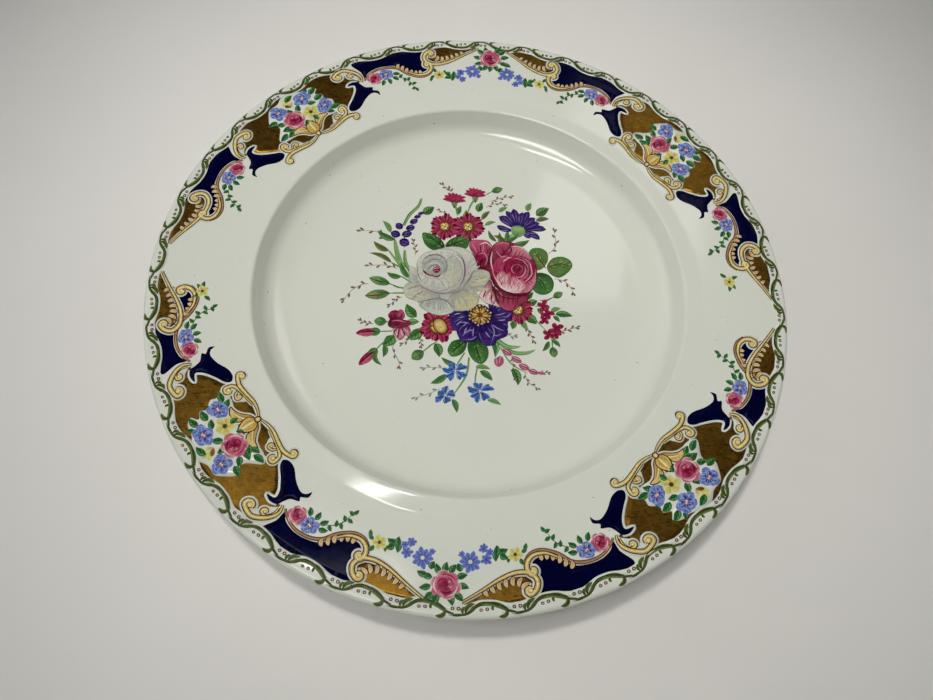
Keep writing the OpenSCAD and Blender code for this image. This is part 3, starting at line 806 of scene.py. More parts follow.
def curl(p, points, width, blob):
    """A cream scroll with a brown outline, a light ridge and a white margin; its end winds round an eye."""
    (u0, v0), (u1, v1), eye = points[-3:]
    way = 1 if (u1 - u0) * (eye[1] - v1) > (v1 - v0) * (eye[0] - u1) else -1
    a = math.degrees(math.atan2(eye[1] - v1, eye[0] - u1))
    points = points[:-1] + [off(eye, blob * (1 - 0.09 * k), a + way * (58 * k - 90)) for k in range(5)]
    if reserve.place is not p.place:
        reserve.at(p.place, MARGIN + 0.004)
    reserve.stroke(points, width + 1.9, "white", taper=(0.5, 0.9))
    p.stroke(points, width + 0.75, "outline", taper=(0.45, 0.6), steps=5)
    p.dot(eye, blob * 0.5 + 0.25, "outline", n=10)
    p.stroke(points, width, "scroll", taper=(0.3, 0.45), steps=5)
    p.stroke(points, width * 0.3, "scroll_light", taper=(0.2, 0.5), steps=5)
    p.dot(eye, blob * 0.5, "scroll_light", "scroll", n=10)


def flute(p, base, tip):
    """One short outlined lobe of a fluted scroll."""
    p.petal(base, tip, 2.1, ("outline", "outline", "outline"), bend=0.18, full=0.5)
    p.petal(base, tip, 1.35, ("scroll_dark", "scroll", "pink_pale"), bend=0.18, full=0.5)


def twin(p, points, width):
    """A pair of brown lines with a paler one between them."""
    p.stroke(points, width, "arch", taper=(0.6, 0.6), steps=5)
    p.stroke(points, width * 0.36, "arch_light", taper=(0.5, 0.5), steps=5)


# ---- the rim's pattern; each motif starts again at its own coat ----

# mm from the glaze to the first stroke of each coat
GROUND, MARGIN, SCROLL, FLOWER = 0.012, 0.02, 0.03, 0.05
CORNERS = (90 - CORNER_TURN, 90 + CORNER_TURN, 270 - CORNER_TURN, 270 + CORNER_TURN)
GARLANDS = (90, 270)
SPRIGS = (182, 358)
VINE_WAVES = 38
RIM_PIECES = ("gold_corner_panels", "gold_wedges", "cobalt_panels", "cobalt_bells", "bracket_scrolls",
              "c_scrolls", "arch_bands", "shell_scrolls", "corner_buds", "leaf_border", "gilt_beads",
              "corner_roses", "corner_blue_flowers", "corner_yellow_flowers", "corner_leaves",
              "drop_roses", "drop_blue_flowers", "drop_leaves", "garland_roses", "garland_asters",
              "garland_leaves", "yellow_flowers", "yellow_flower_leaves")
on = {name: Paint() for name in RIM_PIECES}
reserve = Paint()

GOLD_HALF = [(8, 101.3), (14, 102.4), (19.4, 104.2), (20.6, 106.8), (24, 109.5), (26.8, 112.5),
             (28.6, 115.8), (32.4, 117.4), (32.8, 120.5), (31, 123.8), (27.5, 126), (20, 127.6), (8, 127.8)]
RESERVE = [(-16.4, 110.4), (-13.6, 108), (-9, 107.6), (-5, 108.6), (0, 109.8), (5, 108.4), (12, 107),
           (15.6, 107.4), (18.2, 109.4), (16, 111.6), (16.2, 114), (13.4, 116.4), (13.8, 118.8),
           (11.2, 120.4), (13, 122.8), (10.6, 124.8), (7, 125), (3.4, 127), (-1, 127.6), (-4.6, 125.6),
           (-8.4, 125.6), (-11.2, 123), (-13.4, 119.6), (-11.4, 117), (-12.2, 114.4)]
BELL = [(20.2, 104.4), (22.5, 103.2), (26, 104), (30, 107), (34, 108.9), (36.4, 108.2), (37.4, 106.6),
        (37.6, 109), (35.2, 110.4), (35.8, 111.9), (32.8, 113), (31.4, 115.2), (30.3, 117.3), (27.6, 118),
        (25.2, 116.8), (28, 116.2), (28.4, 114.6), (27, 112), (24, 109), (21, 106.6)]
COBALT_PANEL = [(34.2, 117.6), (36.5, 119.9), (41, 121.3), (46, 121), (50.5, 119.5), (54, 115.5),
                (58.5, 112.8), (62.6, 113), (64.4, 115), (64, 118.6), (65, 121.4), (66.8, 124.6),
                (65.5, 127.4), (58, 127.6), (48, 127.6), (38, 127.6), (31.5, 127.4), (33.8, 121.6)]
ARCH = [(33.6, 116.6), (36.8, 119), (41, 120.4), (46, 120.1), (50, 118.4), (53.5, 114.6),
        (58.5, 111.9), (62.8, 112.2), (65.4, 114.6)]
WEDGE = [(22.6, 118.6), (26.6, 119.6), (28.2, 121.6), (27.4, 124), (25, 127), (16, 127.4), (5.6, 127.2),
         (11.8, 123), (17.6, 119.8)]


def plain(u, v):
    """One colour for areas whose material has its own look."""
    return INK["scroll"]


def corner_panel(c):
    """Gold ground with a white reserve, brackets, cobalt bells and C-scrolls on both sides."""
    right, left = rim(c), rim(c, -1)
    gold = on["gold_corner_panels"].at(right, GROUND)
    gold.area([(0, 102)] + GOLD_HALF + [(0, 127.9)] + [(-u, v) for u, v in reversed(GOLD_HALF)], plain)
    reserve.at(right, MARGIN).area(RESERVE, plain)
    for side in (right, left):
        reserve.at(side, MARGIN + 0.004)
        reserve.stroke(BELL[12:] + [BELL[0]], 1.9, "white", taper=(0.7, 0.7))
        reserve.stroke([(21.5, 106), (17, 107.5), (13, 109.2), (10, 109.6), (8, 109.2)], 1.2, "white")
        reserve.stroke([(31.8, 117.5), (30.4, 119.5), (27.6, 120.6)], 1.6, "white")
        bell = on["cobalt_bells"].at(side, SCROLL)
        bell.area(BELL, plain, grid=2, steps=3)
        reserve.area([(9.6, 102.4), (11.4, 105.6), (14.4, 106.2), (15, 108.6), (17.6, 109), (19.6, 107),
                      (19.2, 104), (15, 102.4)], plain)
        reserve.stroke([(32, 119), (30.6, 122.4), (27.6, 123.6), (24.6, 123)], 2.6, "white")
        bracket = on["bracket_scrolls"].at(side, SCROLL + 0.01)
        curl(bracket, [(11.6, 102.2), (14.8, 103), (14.4, 104.7), (12.8, 104.2)], 0.8, 1.1)
        curl(bracket, [(6.6, 101), (11, 101.8), (15, 102.8), (18, 104.4), (17, 106.6)], 1.2, 1.5)
        curl(bracket, [(0.2, 101.6), (4, 100.4), (8, 100.2), (12.4, 101.2), (17, 102.2), (20.2, 101.9),
                       (21, 100.4)], 1.3, 1.4)
        scroll = on["c_scrolls"].at(side, SCROLL + 0.01)
        curl(scroll, [(31.8, 117.8), (31.8, 120.2), (30.5, 122.6), (29.1, 121.7)], 0.9, 1.1)
        curl(scroll, [(32.2, 116.2), (32.9, 119), (31.6, 122), (28.9, 124.6), (26.2, 125.8), (23.9, 123.4)],
             1.4, 1.8)
    bracket.dot((0, 102.2), 1.45, "outline")
    bracket.dot((0, 102.2), 1.0, "scroll_light", "scroll_dark")


def corner_bud(c):
    """A pointed bud between two curled sepals, over the knot."""
    place = rim(c)
    bud = on["corner_buds"].at(place, SCROLL + 0.012)
    reserve.at(place, MARGIN + 0.004)
    for side in (1, -1):
        outline = [(side * u, v) for u, v in (
            (0.5, 102.6), (3.2, 103.6), (5.2, 105.8), (7.6, 107.6), (10.2, 108.4), (8.2, 109.8), (5.2, 110),
            (3.1, 108.7), (2.6, 106), (0.8, 103.4))]
        reserve.stroke(outline + outline[:1], 1.6, "white", taper=(0.9, 0.9))
        wash(bud, outline, "ochre", "yellow_light", 90 - 25 * side, "outline", 0.45)
        for k, tone in ((0.25, "yellow"), (0.6, "yellow_pale"), (0.95, "scroll_dark")):
            bud.stroke([(side * (1 + 0.4 * k), 103.6), (side * (3 + 1.2 * k), 107.2 - k),
                        (side * (6.4 + k), 109.2 - k)],
                       0.4, tone)
    outline = [(0, 102.5), (-2.3, 103.9), (-3, 106), (-2, 108.4), (0, 110.6), (2, 108.4), (3, 106),
               (2.3, 103.9)]
    wash(bud, outline, "yellow", "yellow_light", 90, "outline", 0.5)
    for u, width, tone in ((-1.7, 0.4, "scroll_dark"), (-0.8, 0.4, "yellow"), (0.1, 0.8, "yellow_pale"),
                           (1.2, 0.35, "ochre"), (1.9, 0.4, "yellow")):
        bud.stroke([(u * 0.6, 103.6), (u, 106), (u * 0.5, 108.8)], width, tone)


def corner_flowers(c):
    """The little posy that fills the white reserve: it isn't mirrored."""
    place = rim(c)
    leaves = on["corner_leaves"].at(place, FLOWER)
    for u, v, a, length, width in (
            (-12.2, 119.2, 165, 4.4, 2.6), (-9.8, 116.4, 140, 4, 2.5), (-9.6, 113, 175, 4.6, 2.8),
            (-13.6, 110.6, 190, 5, 2.7), (-10.2, 109.6, 200, 4, 2.3), (-8.6, 111.2, 150, 3.6, 2.2),
            (11, 122.4, 25, 4.6, 2.6), (11.6, 118, 10, 4.6, 2.8), (7.4, 117, 340, 3.8, 2.4),
            (1.2, 118.2, 60, 4.2, 2.6), (-2.6, 118.8, 100, 3.8, 2.3), (0.8, 124.8, 20, 4.4, 2.6),
            (15.6, 109.8, 355, 4.8, 2.6), (12, 108.8, 320, 4, 2.4), (4.4, 109.6, 280, 3.4, 2.2),
            (-0.6, 109.9, 230, 3, 1.8), (8.8, 124.4, 60, 3, 1.8), (13.8, 115.6, 60, 3, 1.8)):
        leaf_at(leaves, (u, v), length, width, a)
    yellow = on["corner_yellow_flowers"].at(place, FLOWER + 0.03)
    floret(yellow, (4.4, 113.4), 3.9, 20)
    for tip, width, tones in (((-1.6, 126), 2.8, "lemon"), ((1, 125.2), 2.4, "lemon_pale"),
                              ((-3.4, 124.6), 2.2, "lemon"), ((-2.8, 122.8), 1.5, "brown")):
        yellow.petal((-0.6, 120.6), tip, width,
                     ("ochre", tones, "lemon_pale" if tones != "brown" else "ochre"))
    blue = on["corner_blue_flowers"].at(place, FLOWER + 0.05)
    for u, v, r, turn in ((-7, 121.6, 3.9, 10), (5.2, 121.4, 4.1, 40), (11.4, 112.8, 4, 0)):
        blue_flower(blue, (u, v), r, turn)
    rose(on["corner_roses"].at(place, FLOWER + 0.07), (-3.9, 114.2), 4.7, c)


def blue_flower(p, c, r, turn):
    """A blue flower with uneven, streaked petals and a pale pink heart."""
    for ring, (count, reach, tones) in enumerate((
            (7, 1.0, ("aster_dark", "aster", "aster_light")),
            (6, 0.86, ("aster_dark", "aster", "blue_pale")),
            (5, 0.6, ("aster_dark", "aster_dark", "aster_light")))):
        for i in range(count):
            a = turn + 360 * (i + 0.4 * ring) / count + 9 * math.sin(i * 2.7 + turn)
            far = r * reach * (0.92 + 0.12 * math.sin(i * 1.9 + turn + ring))
            p.petal(off(c, r * 0.08, a), off(c, far, a), r * (0.85 - 0.16 * ring), tones,
                    0.16 * math.sin(i * 2.2))
            for k in (-11, 8):
                p.stroke([off(c, far * 0.45, a + k), off(c, far * 0.88, a + k * 1.3)], r * 0.06,
                         "aster_dark" if (i + k) % 2 else "blue_pale", steps=2)
    p.dot(c, r * 0.24, "pink_pale", "mauve", n=8)
    for k in range(4):
        p.dot(off(c, r * 0.13, 90 * k + turn), r * 0.07, "magenta" if k % 2 else "yellow_pale", n=5)


def arch(c):
    """The cobalt panel over each arch, its brown double line, and the flowers that hang under it."""
    for side in (rim(c), rim(c, -1)):
        on["cobalt_panels"].at(side, GROUND).area(COBALT_PANEL, plain)
        twin(on["arch_bands"].at(side, SCROLL), ARCH, 1.5)
        lobes = on["arch_bands"]
        for u, v, a in ((50.6, 119.6, 65), (52.4, 118.2, 70), (54, 116.6, 75), (56, 115.2, 85),
                        (58, 114.4, 95), (60, 114.4, 110)):
            flute(lobes, off((u, v), -1.6, a), off((u, v), 1.2, a))
        curl(lobes, [(54, 115.6), (57.5, 113.3), (61.6, 113), (64.2, 114.6), (65, 117), (63.4, 118.2)], 1.5,
             1.3)
        leaves = on["drop_leaves"].at(side, FLOWER)
        fan(leaves, (44, 117), ((41.2, 112.6), (44.4, 112.4), (47.6, 113.2), (48.6, 115.6)), 3.4, 2.0)
        leaves.stroke([(48, 114), (51.2, 112.4), (53.6, 109.8), (55.4, 105.4)], 0.35, "leaf_dark")
        for u, v, a in ((50.4, 114, 40), (51.4, 111.6, 250), (53.6, 111.6, 50), (53.2, 108.8, 230),
                        (55.6, 108.6, 20), (54.6, 106.2, 200), (56, 105, 300)):
            leaf_at(leaves, (u, v), 2.5, 1.5, a, veins=0)
        rose(on["drop_roses"].at(side, FLOWER + 0.05), (38.4, 116), 3.3, 30)
        blue_flower(on["drop_blue_flowers"].at(side, FLOWER + 0.05), (43.8, 116.6), 3.4, 15)


def wedge(c):
    """Gold wedges between the arches, each with a shell scroll."""
    for side in (rim(c), rim(c, -1)):
        on["gold_wedges"].at(side, GROUND + 0.004).area(WEDGE, plain, grid=2)
        shell = on["shell_scrolls"].at(side, SCROLL)
        for u, v, a in ((13.4, 123.6, 75), (15.6, 122.6, 80), (17.8, 121.8, 90), (20, 121.2, 95),
                        (22.2, 121, 105), (24.2, 121.6, 120), (25.4, 123, 150)):
            flute(shell, off((u, v), -2, a), off((u, v), 1.3, a))
        curl(shell, [(5.8, 126.6), (12, 122.8), (17.6, 119.6), (22.8, 118), (27.4, 118.6), (29.6, 121.4),
                     (28.9, 124.2), (26.8, 124.4)], 1.4, 1.4)
        shell.stroke([(22, 119.6), (25.6, 119.8), (27.6, 121.6), (27.2, 123.6)], 0.45, "outline")


def garland(c):
    """A rose with leaves, asters and yellow flowers to both sides."""
    centre = rim(c)
    leaves = on["garland_leaves"].at(centre, FLOWER)
    fan(leaves, (0.2, 120.4), ((-4.6, 125.2), (-2.2, 126.2), (-6, 121.8), (-5.6, 118.4), (-0.2, 115.6),
                               (2.4, 116.2), (-2.6, 116), (4.6, 125.4), (2.6, 126.4), (6, 122.6),
                               (5.8, 118.8), (7.4, 118.4)), 3.8, 2.3)
    rose(on["garland_roses"].at(centre, FLOWER + 0.05), (-0.4, 121.4), 4.7, c)
    for k, side in ((1, rim(c)), (-1, rim(c, -1))):
        leaves.at(side, FLOWER)
        for u, v, a, length in ((17.4, 111.6, 100, 4), (19.6, 110, 350, 4.4), (17.6, 109.6, 280, 3.4),
                                (20, 112, 30, 3), (4.4, 115.4, 250, 3)):
            leaf_at(leaves, (u, v), length, 2.4, a)
        blue = on["garland_asters"].at(side, FLOWER + 0.03)
        daisy(blue, (8.2, 113.4), 3.9, 10, ("aster_dark", "aster", "aster_light"),
              ("yellow_pale", "blue_pale"),
              0.2, 0, 1.25)
        for u, v, r in ((13.8, 112.6, 2.2), (13, 108.8, 1.9), (15.2, 110.2, 1.5), (5.2, 110.8, 1.3)):
            daisy(blue, (u, v), r, 6, ("aster_dark", "aster", "aster_light"), ("aster_dark", "aster"), 0.2,
                  20 * k)
        floret(on["yellow_flowers"].at(side, FLOWER + 0.03), (24, 111.8), 2.7, 15)
        tips = on["yellow_flower_leaves"].at(side, FLOWER)
        for u, v, a in ((26, 114.6, 70), (27.4, 110.8, 330), (28, 109.6, 300), (21.6, 113.2, 110)):
            leaf_at(tips, (u, v), 2.6, 1.5, a, veins=0)


def sprig(c):
    """The lone yellow flower in the gaps at the left and right."""
    place = rim(c)
    floret(on["yellow_flowers"].at(place, FLOWER + 0.03), (-13.6, 110.2), 2.6, 15)
    tips = on["yellow_flower_leaves"].at(place, FLOWER)
    for u, v, a in ((-15.4, 112.6, 110), (-17, 108.2, 225), (-10.6, 109.8, 350), (-11.4, 111.4, 40)):
        leaf_at(tips, (u, v), 3.2, 1.6, a, veins=0)


def vine():
    """A wavy stem with curled leaves along the lip, over a white margin."""
    step = 2 * math.pi * STRIP_R / VINE_WAVES
    stems, beads = on["leaf_border"], on["gilt_beads"]
    olive = ("vine_dark", "vine", "vine_light")
    for i in range(VINE_WAVES):
        place = rim(90 + 360 * i / VINE_WAVES)
        reserve.at(place, MARGIN + 0.002)
        reserve.stroke([(-3, 128.7), (0, 128), (3, 127.1), (6.5, 127), (9, 127.7), (12, 128.6),
                        (step - 3, 128.7)],
                       2.2, "white", taper=(0.8, 0.8))
        stems.at(place, SCROLL)
        stems.stroke([(-3.4, 130.6), (-1, 129.7), (1.4, 128.4), (4, 127.4), (6.6, 127.3), (8.4, 128.1),
                      (9.6, 129.4), (11.6, 130.6), (step - 3.2, 130.8)], 1.15, "vine", taper=(0.65, 0.6))
        stems.petal((-1.6, 130), (5.6, 127.1), 1.7, olive, bend=-0.1)
        stems.petal((-1, 129.3), (1.8, 131.5), 1.5, olive, bend=0.28)
        stems.petal((11.4, 130.4), (8.6, 127.1), 1.4, olive, bend=0.22)
        stems.petal((12, 130.5), (11.3, 128.1), 1.1, olive, bend=0.25)
        stems.petal((3, 127.7), (3.2, 129.5), 0.9, olive, bend=-0.2)
        for points, width, tone in (
                ([(-1.4, 129), (1.6, 127.6), (4.2, 126.8), (6.8, 126.8), (8.6, 127.6)], 0.4, "vine_dark"),
                ([(-0.6, 129.6), (1.6, 128.5), (4.2, 127.6), (6.2, 127.6)], 0.35, "vine_light"),
                ([(10.9, 129.9), (9.8, 128.8), (9.2, 127.7)], 0.35, "vine_light"),
                ([(-0.4, 129.8), (0.2, 130.8), (1.4, 131.2)], 0.3, "vine_light"),
                ([(11.8, 130.9), (14, 131.2), (16.4, 130.9)], 0.3, "vine_dark")):
            stems.stroke(points, width, tone, steps=3)
        beads.at(place, SCROLL)
        # Each gilt bead is a brown ring, its own colour, with a pale centre that is a painted highlight
        # standing in for the gleam of the raised bead
        for u, v, r in ((5, 129, 0.6), (6.8, 129.2, 0.55), (13.4, 128.8, 0.65), (15.2, 128.8, 0.6)):
            beads.dot((u, v), r, "brown", "brown_dark", n=9)
            beads.dot((u, v), r * 0.5, "pink_pale", "arch_light", n=7)


for angle in CORNERS:
    corner_panel(angle)
    corner_bud(angle)
    corner_flowers(angle)
    arch(angle)
for angle in GARLANDS + SPRIGS:
    wedge(angle)
for angle in GARLANDS:
    garland(angle)
for angle in SPRIGS:
    sprig(angle)
vine()
for name, paint in on.items():
    look = GILDING if name.startswith("gold") else COBALT_BLUE if name.startswith("cobalt") else ENAMEL
    paint.piece("painted_" + name, look, name)
reserve.piece("white_reserves", GLAZE, "clear_glaze")

# ---- the bouquet in the well, mm from the plate's centre ----
# The outlines follow the photo: their points were picked on it and a separate script turned them
# into mm with this camera, as report.md says.

WELL_SCALE = 0.994
WELL_DROP = 0.77     # mm


def well(u, v):
    """The bouquet stands a little below the plate's centre."""
    return WELL_SCALE * u, WELL_SCALE * v - WELL_DROP


# mm from the glaze to the first stroke of each coat
BACK, LEAF_COAT, SMALL_COAT, DAISY_COAT, OVER_DAISY, BROAD_COAT, ROSE_COAT, TOP_COAT = (
    0.015, 0.02, 0.035, 0.05, 0.10, 0.115, 0.135, 0.20)


def rays(p, c, spans, tones, width=0.3, lean=4):
    """Fine brush lines fanning out from a centre: each span is (angle, from, to)."""
    for i, (a, near, far) in enumerate(spans):
        p.stroke([off(c, near, a), off(c, (near + far) / 2, a + lean * 0.4), off(c, far, a + lean)],
                 width * (1 + 0.3 * math.sin(i * 2.3)), tones[i % len(tones)], steps=3)


def broad_leaf(p, outline, spine, tones):
    """A rounded leaf: a wash, a dark midrib and curved side veins."""
    along = math.degrees(math.atan2(spine[-1][1] - spine[0][1], spine[-1][0] - spine[0][0]))
    wash(p, outline, tones[0], tones[1], along, tones[0], 0.25)
    line = spline(spine, 6)
    half = 0.36 * math.dist(spine[0], spine[-1])
    for i in range(5):
        q, r = line[2 + 2 * i], line[1 + 2 * i]
        a = math.degrees(math.atan2(q[1] - r[1], q[0] - r[0]))
        reach = half * math.sin(math.pi * (0.25 + 0.14 * i)) * 0.95
        for side in (-1, 1):
            p.stroke([q, off(q, reach * 0.55, a + side * 52), off(q, reach, a + side * 38)], 0.22,
                     tones[3] if side < 0 else tones[2], steps=3)
            p.stroke([off(q, reach * 0.3, a + side * 30), off(q, reach * 0.8, a + side * 28)], 0.5,
                     tones[2] if (i + side) % 2 else tones[1], steps=3)
    p.stroke(spine, 0.5, tones[3], taper=(0.9, 0.3))


def crimson_daisy(p, c, r, core, n=13, turn=0.0, squash=1.0, lean=0.0):
    """A crimson daisy with pale-streaked petals and a dotted ochre heart."""
    daisy(p, c, r, n, ("crimson_dark", "crimson_dark", "crimson"), ("crimson_dark", "crimson"), core,
          turn + 12, 1.2, squash, lean)
    daisy(p, c, r * 0.97, n, ("crimson_dark", "crimson", "rose"), ("crimson_dark", "crimson_dark"),
          core * 1.1, turn, 0.95, squash, lean)
    for i in range(2 * n):
        a = turn + 180 * i / n
        u, v = off((0, 0), 1, a)
        v *= squash
        k, s = math.cos(math.radians(lean)), math.sin(math.radians(lean))
        u, v = u * k - v * s, u * s + v * k
        p.stroke([(c[0] + u * r * q, c[1] + v * r * q) for q in (core * 1.2, 0.6, 0.86 - 0.2 * (i % 2))],
                 0.2, ("pink", "crimson_dark", "pink_light", "crimson_dark")[i % 4], steps=3)
    p.dot(c, r * core * 1.04, "ochre", "brown", n=14)
    p.dot(off(c, 0.2, 130), r * core * 0.8, "yellow_light", "yellow", n=12)
    for i in range(12):
        p.dot(off(c, r * core * (0.45 if i % 3 else 0.75), 30 * i + 10 * (i % 2)), r * core * 0.15,
              ("brown", "yellow_pale", "olive")[i % 3], n=6)
    p.dot(c, r * core * 0.2, "brown", "olive", n=7)


def twig(p, points, size, tone="sprig", leaves=5, end="sprig_dark"):
    """A fine stem with small leaflets to both sides and one at its tip."""
    p.stroke(points, 0.32, tone, taper=(0.8, 0.3))
    line = spline(points, 6)
    for i in range(leaves):
        k = int((i + 1) * (len(line) - 1) / (leaves + 0.5))
        q, r = line[k], line[max(k - 1, 0)]
        a = math.degrees(math.atan2(q[1] - r[1], q[0] - r[0]))
        p.petal(q, off(q, size, a + (38 if i % 2 else -38)), size * 0.42, (tone, end, tone))
    p.petal(line[-2], off(line[-1], size * 0.6, a), size * 0.42, (tone, end, tone))


def bud(p, base, tip, width, tones, stem=None):
    """A closed bud with a split of colour and two sepals."""
    if stem:
        p.stroke([base] + stem, 0.5, "green", taper=(0.8, 0.8))
    p.petal(base, tip, width, tones, far=1.0, full=0.75)
    mid = ((base[0] + tip[0]) / 2, (base[1] + tip[1]) / 2)
    a = math.degrees(math.atan2(tip[1] - base[1], tip[0] - base[0]))
    length = math.dist(base, tip)
    p.stroke([base, off(mid, width * 0.08, a + 90), tip], width * 0.16, tones[0])
    for side in (-1, 1):
        p.leaf(off(base, width * 0.05, a + 90 * side),
               off(off(base, length * 0.55, a), width * 0.42, a + 90 * side),
               width * 0.34, ("green_dark", "green", "green_light"), bend=-0.12 * side, veins=0)


bouquet = {name: Paint(well) for name in (
    "white_rose", "pink_rose", "purple_anemone", "crimson_flowers", "purple_aster", "grape_hyacinth",
    "blue_cornflowers", "rosebuds", "bouquet_leaves", "heather_sprig")}


# Stems and leaves: base, tip, width, and which greens
greens = bouquet["bouquet_leaves"]
GREEN = ("green_dark", "green", "green_light")
OLIVE = ("olive_dark", "olive", "olive_light")
FRESH = ("green", "bud_green", "green_light")


def stems():
    """Flower stems, and the fine twigs round the outside."""
    for points, width in (
            ([(-30, 10), (-33, 15), (-36, 24)], 1.6), ([(-27, 8), (-30, 13), (-31, 19)], 1.7),
            ([(-26, 3.5), (-32, 11), (-38, 18)], 1.2), ([(-29, 8), (-34, 15), (-36.5, 25)], 1.2),
            ([(-26, 3), (-31, 5.5), (-35, 6.5)], 0.7), ([(-27, 0), (-31, 0), (-34, 0.6)], 0.8),
            ([(-26, -2), (-30, -2.6), (-34, -3)], 0.7),
            ([(-33, 32), (-31, 38), (-27.5, 43), (-26.5, 47.5)], 1.6),
            ([(-36, 12), (-30, 9), (-27, 6)], 0.9), ([(-31, -21), (-27, -19.5), (-24, -18)], 0.6),
            ([(-31.5, -23.5), (-28, -20), (-24, -17)], 0.6), ([(-15.5, -26.5), (-12, -24)], 0.6),
            ([(2, -30), (1.5, -38), (-3, -47)], 0.9), ([(6, -33), (5.5, -38), (5.5, -42)], 0.7),
            ([(0, -28), (-1.5, -31), (-3, -34)], 0.7), ([(15, -24), (20, -31), (27, -34.5)], 0.6),
            ([(26, -5), (30, -10), (34, -14)], 0.6), ([(29, -3), (33, -2.4)], 0.5),
            ([(33, -4), (38, -6)], 0.5), ([(36.5, -16), (37, -19), (37.2, -22)], 0.5),
            ([(-10.5, 45.5), (-9.6, 43), (-9, 40)], 0.9), ([(-2, 49.5), (-3.4, 46), (-4.4, 42)], 0.9),
            ([(3.5, 53), (6, 55)], 0.5), ([(12, 28), (15, 31), (18, 33)], 0.9),
            ([(31, 0), (34, 0.6), (36.5, 2)], 0.5)):
        greens.at(well, BACK).stroke(points, width, "green", "bud_green", taper=(0.8, 0.5))
        greens.stroke([(u + 0.16 * width, v + 0.1) for u, v in points], width * 0.3, "green_light",
                      taper=(0.7, 0.4))
    for points, size in (
            ([(-38, 24), (-41, 24.6), (-45, 27.4), (-52.5, 27)], 2.6),
            ([(-33, 9), (-38, 10.5), (-46.5, 9.5)], 2.3),
            ([(-45, 0.5), (-48, -0.5), (-52, -4), (-54.5, -9)], 2.4),
            ([(-29.5, -4.5), (-32, -6), (-34.5, -9.5)], 1.9), ([(-13, 52.5), (-14, 54), (-18, 56.5)], 2.2),
            ([(4, 46), (8, 48.5), (13, 48.5)], 1.9), ([(6, 49.5), (10, 51.6), (15.5, 53.5)], 2.0),
            ([(34, 24), (37, 28), (37, 32), (36, 37)], 2.3),
            ([(37, 11.5), (41, 11), (44, 8.5), (46, 5)], 2.2), ([(26, -13), (27, -16), (29.5, -20)], 2.0),
            ([(39.5, -14.5), (43.5, -13), (48, -11)], 2.1),
            ([(-29, -25), (-30.5, -29), (-27.5, -34), (-26.5, -37)], 2.0),
            ([(-22, -21), (-24, -24), (-27, -27)], 1.8), ([(-19.5, -22), (-18.5, -27)], 1.7),
            ([(-40, -18.5), (-43, -18.5), (-46, -17.5)], 1.9), ([(-26, 17), (-26.5, 21), (-28, 24.5)], 1.9),
            ([(20.5, -27), (21, -33), (22.5, -38)], 1.8), ([(26, -34.5), (27.5, -38.5), (32, -41)], 1.8),
            ([(31, -34), (36, -33.5)], 1.6), ([(-12, 36), (-15, 40.5), (-18, 42)], 1.6)):
        greens.at(well, BACK)
        twig(greens, points, size)
    for points in ([(-8, -36), (-12, -35.8), (-17, -36.5)], [(-9, -45), (-13, -47.5), (-19, -50)],
                   [(15, -17), (18, -18), (21, -18.5)]):
        twig(greens.at(well, BACK), points, 2.1, "grey", 4, "grey_dark")


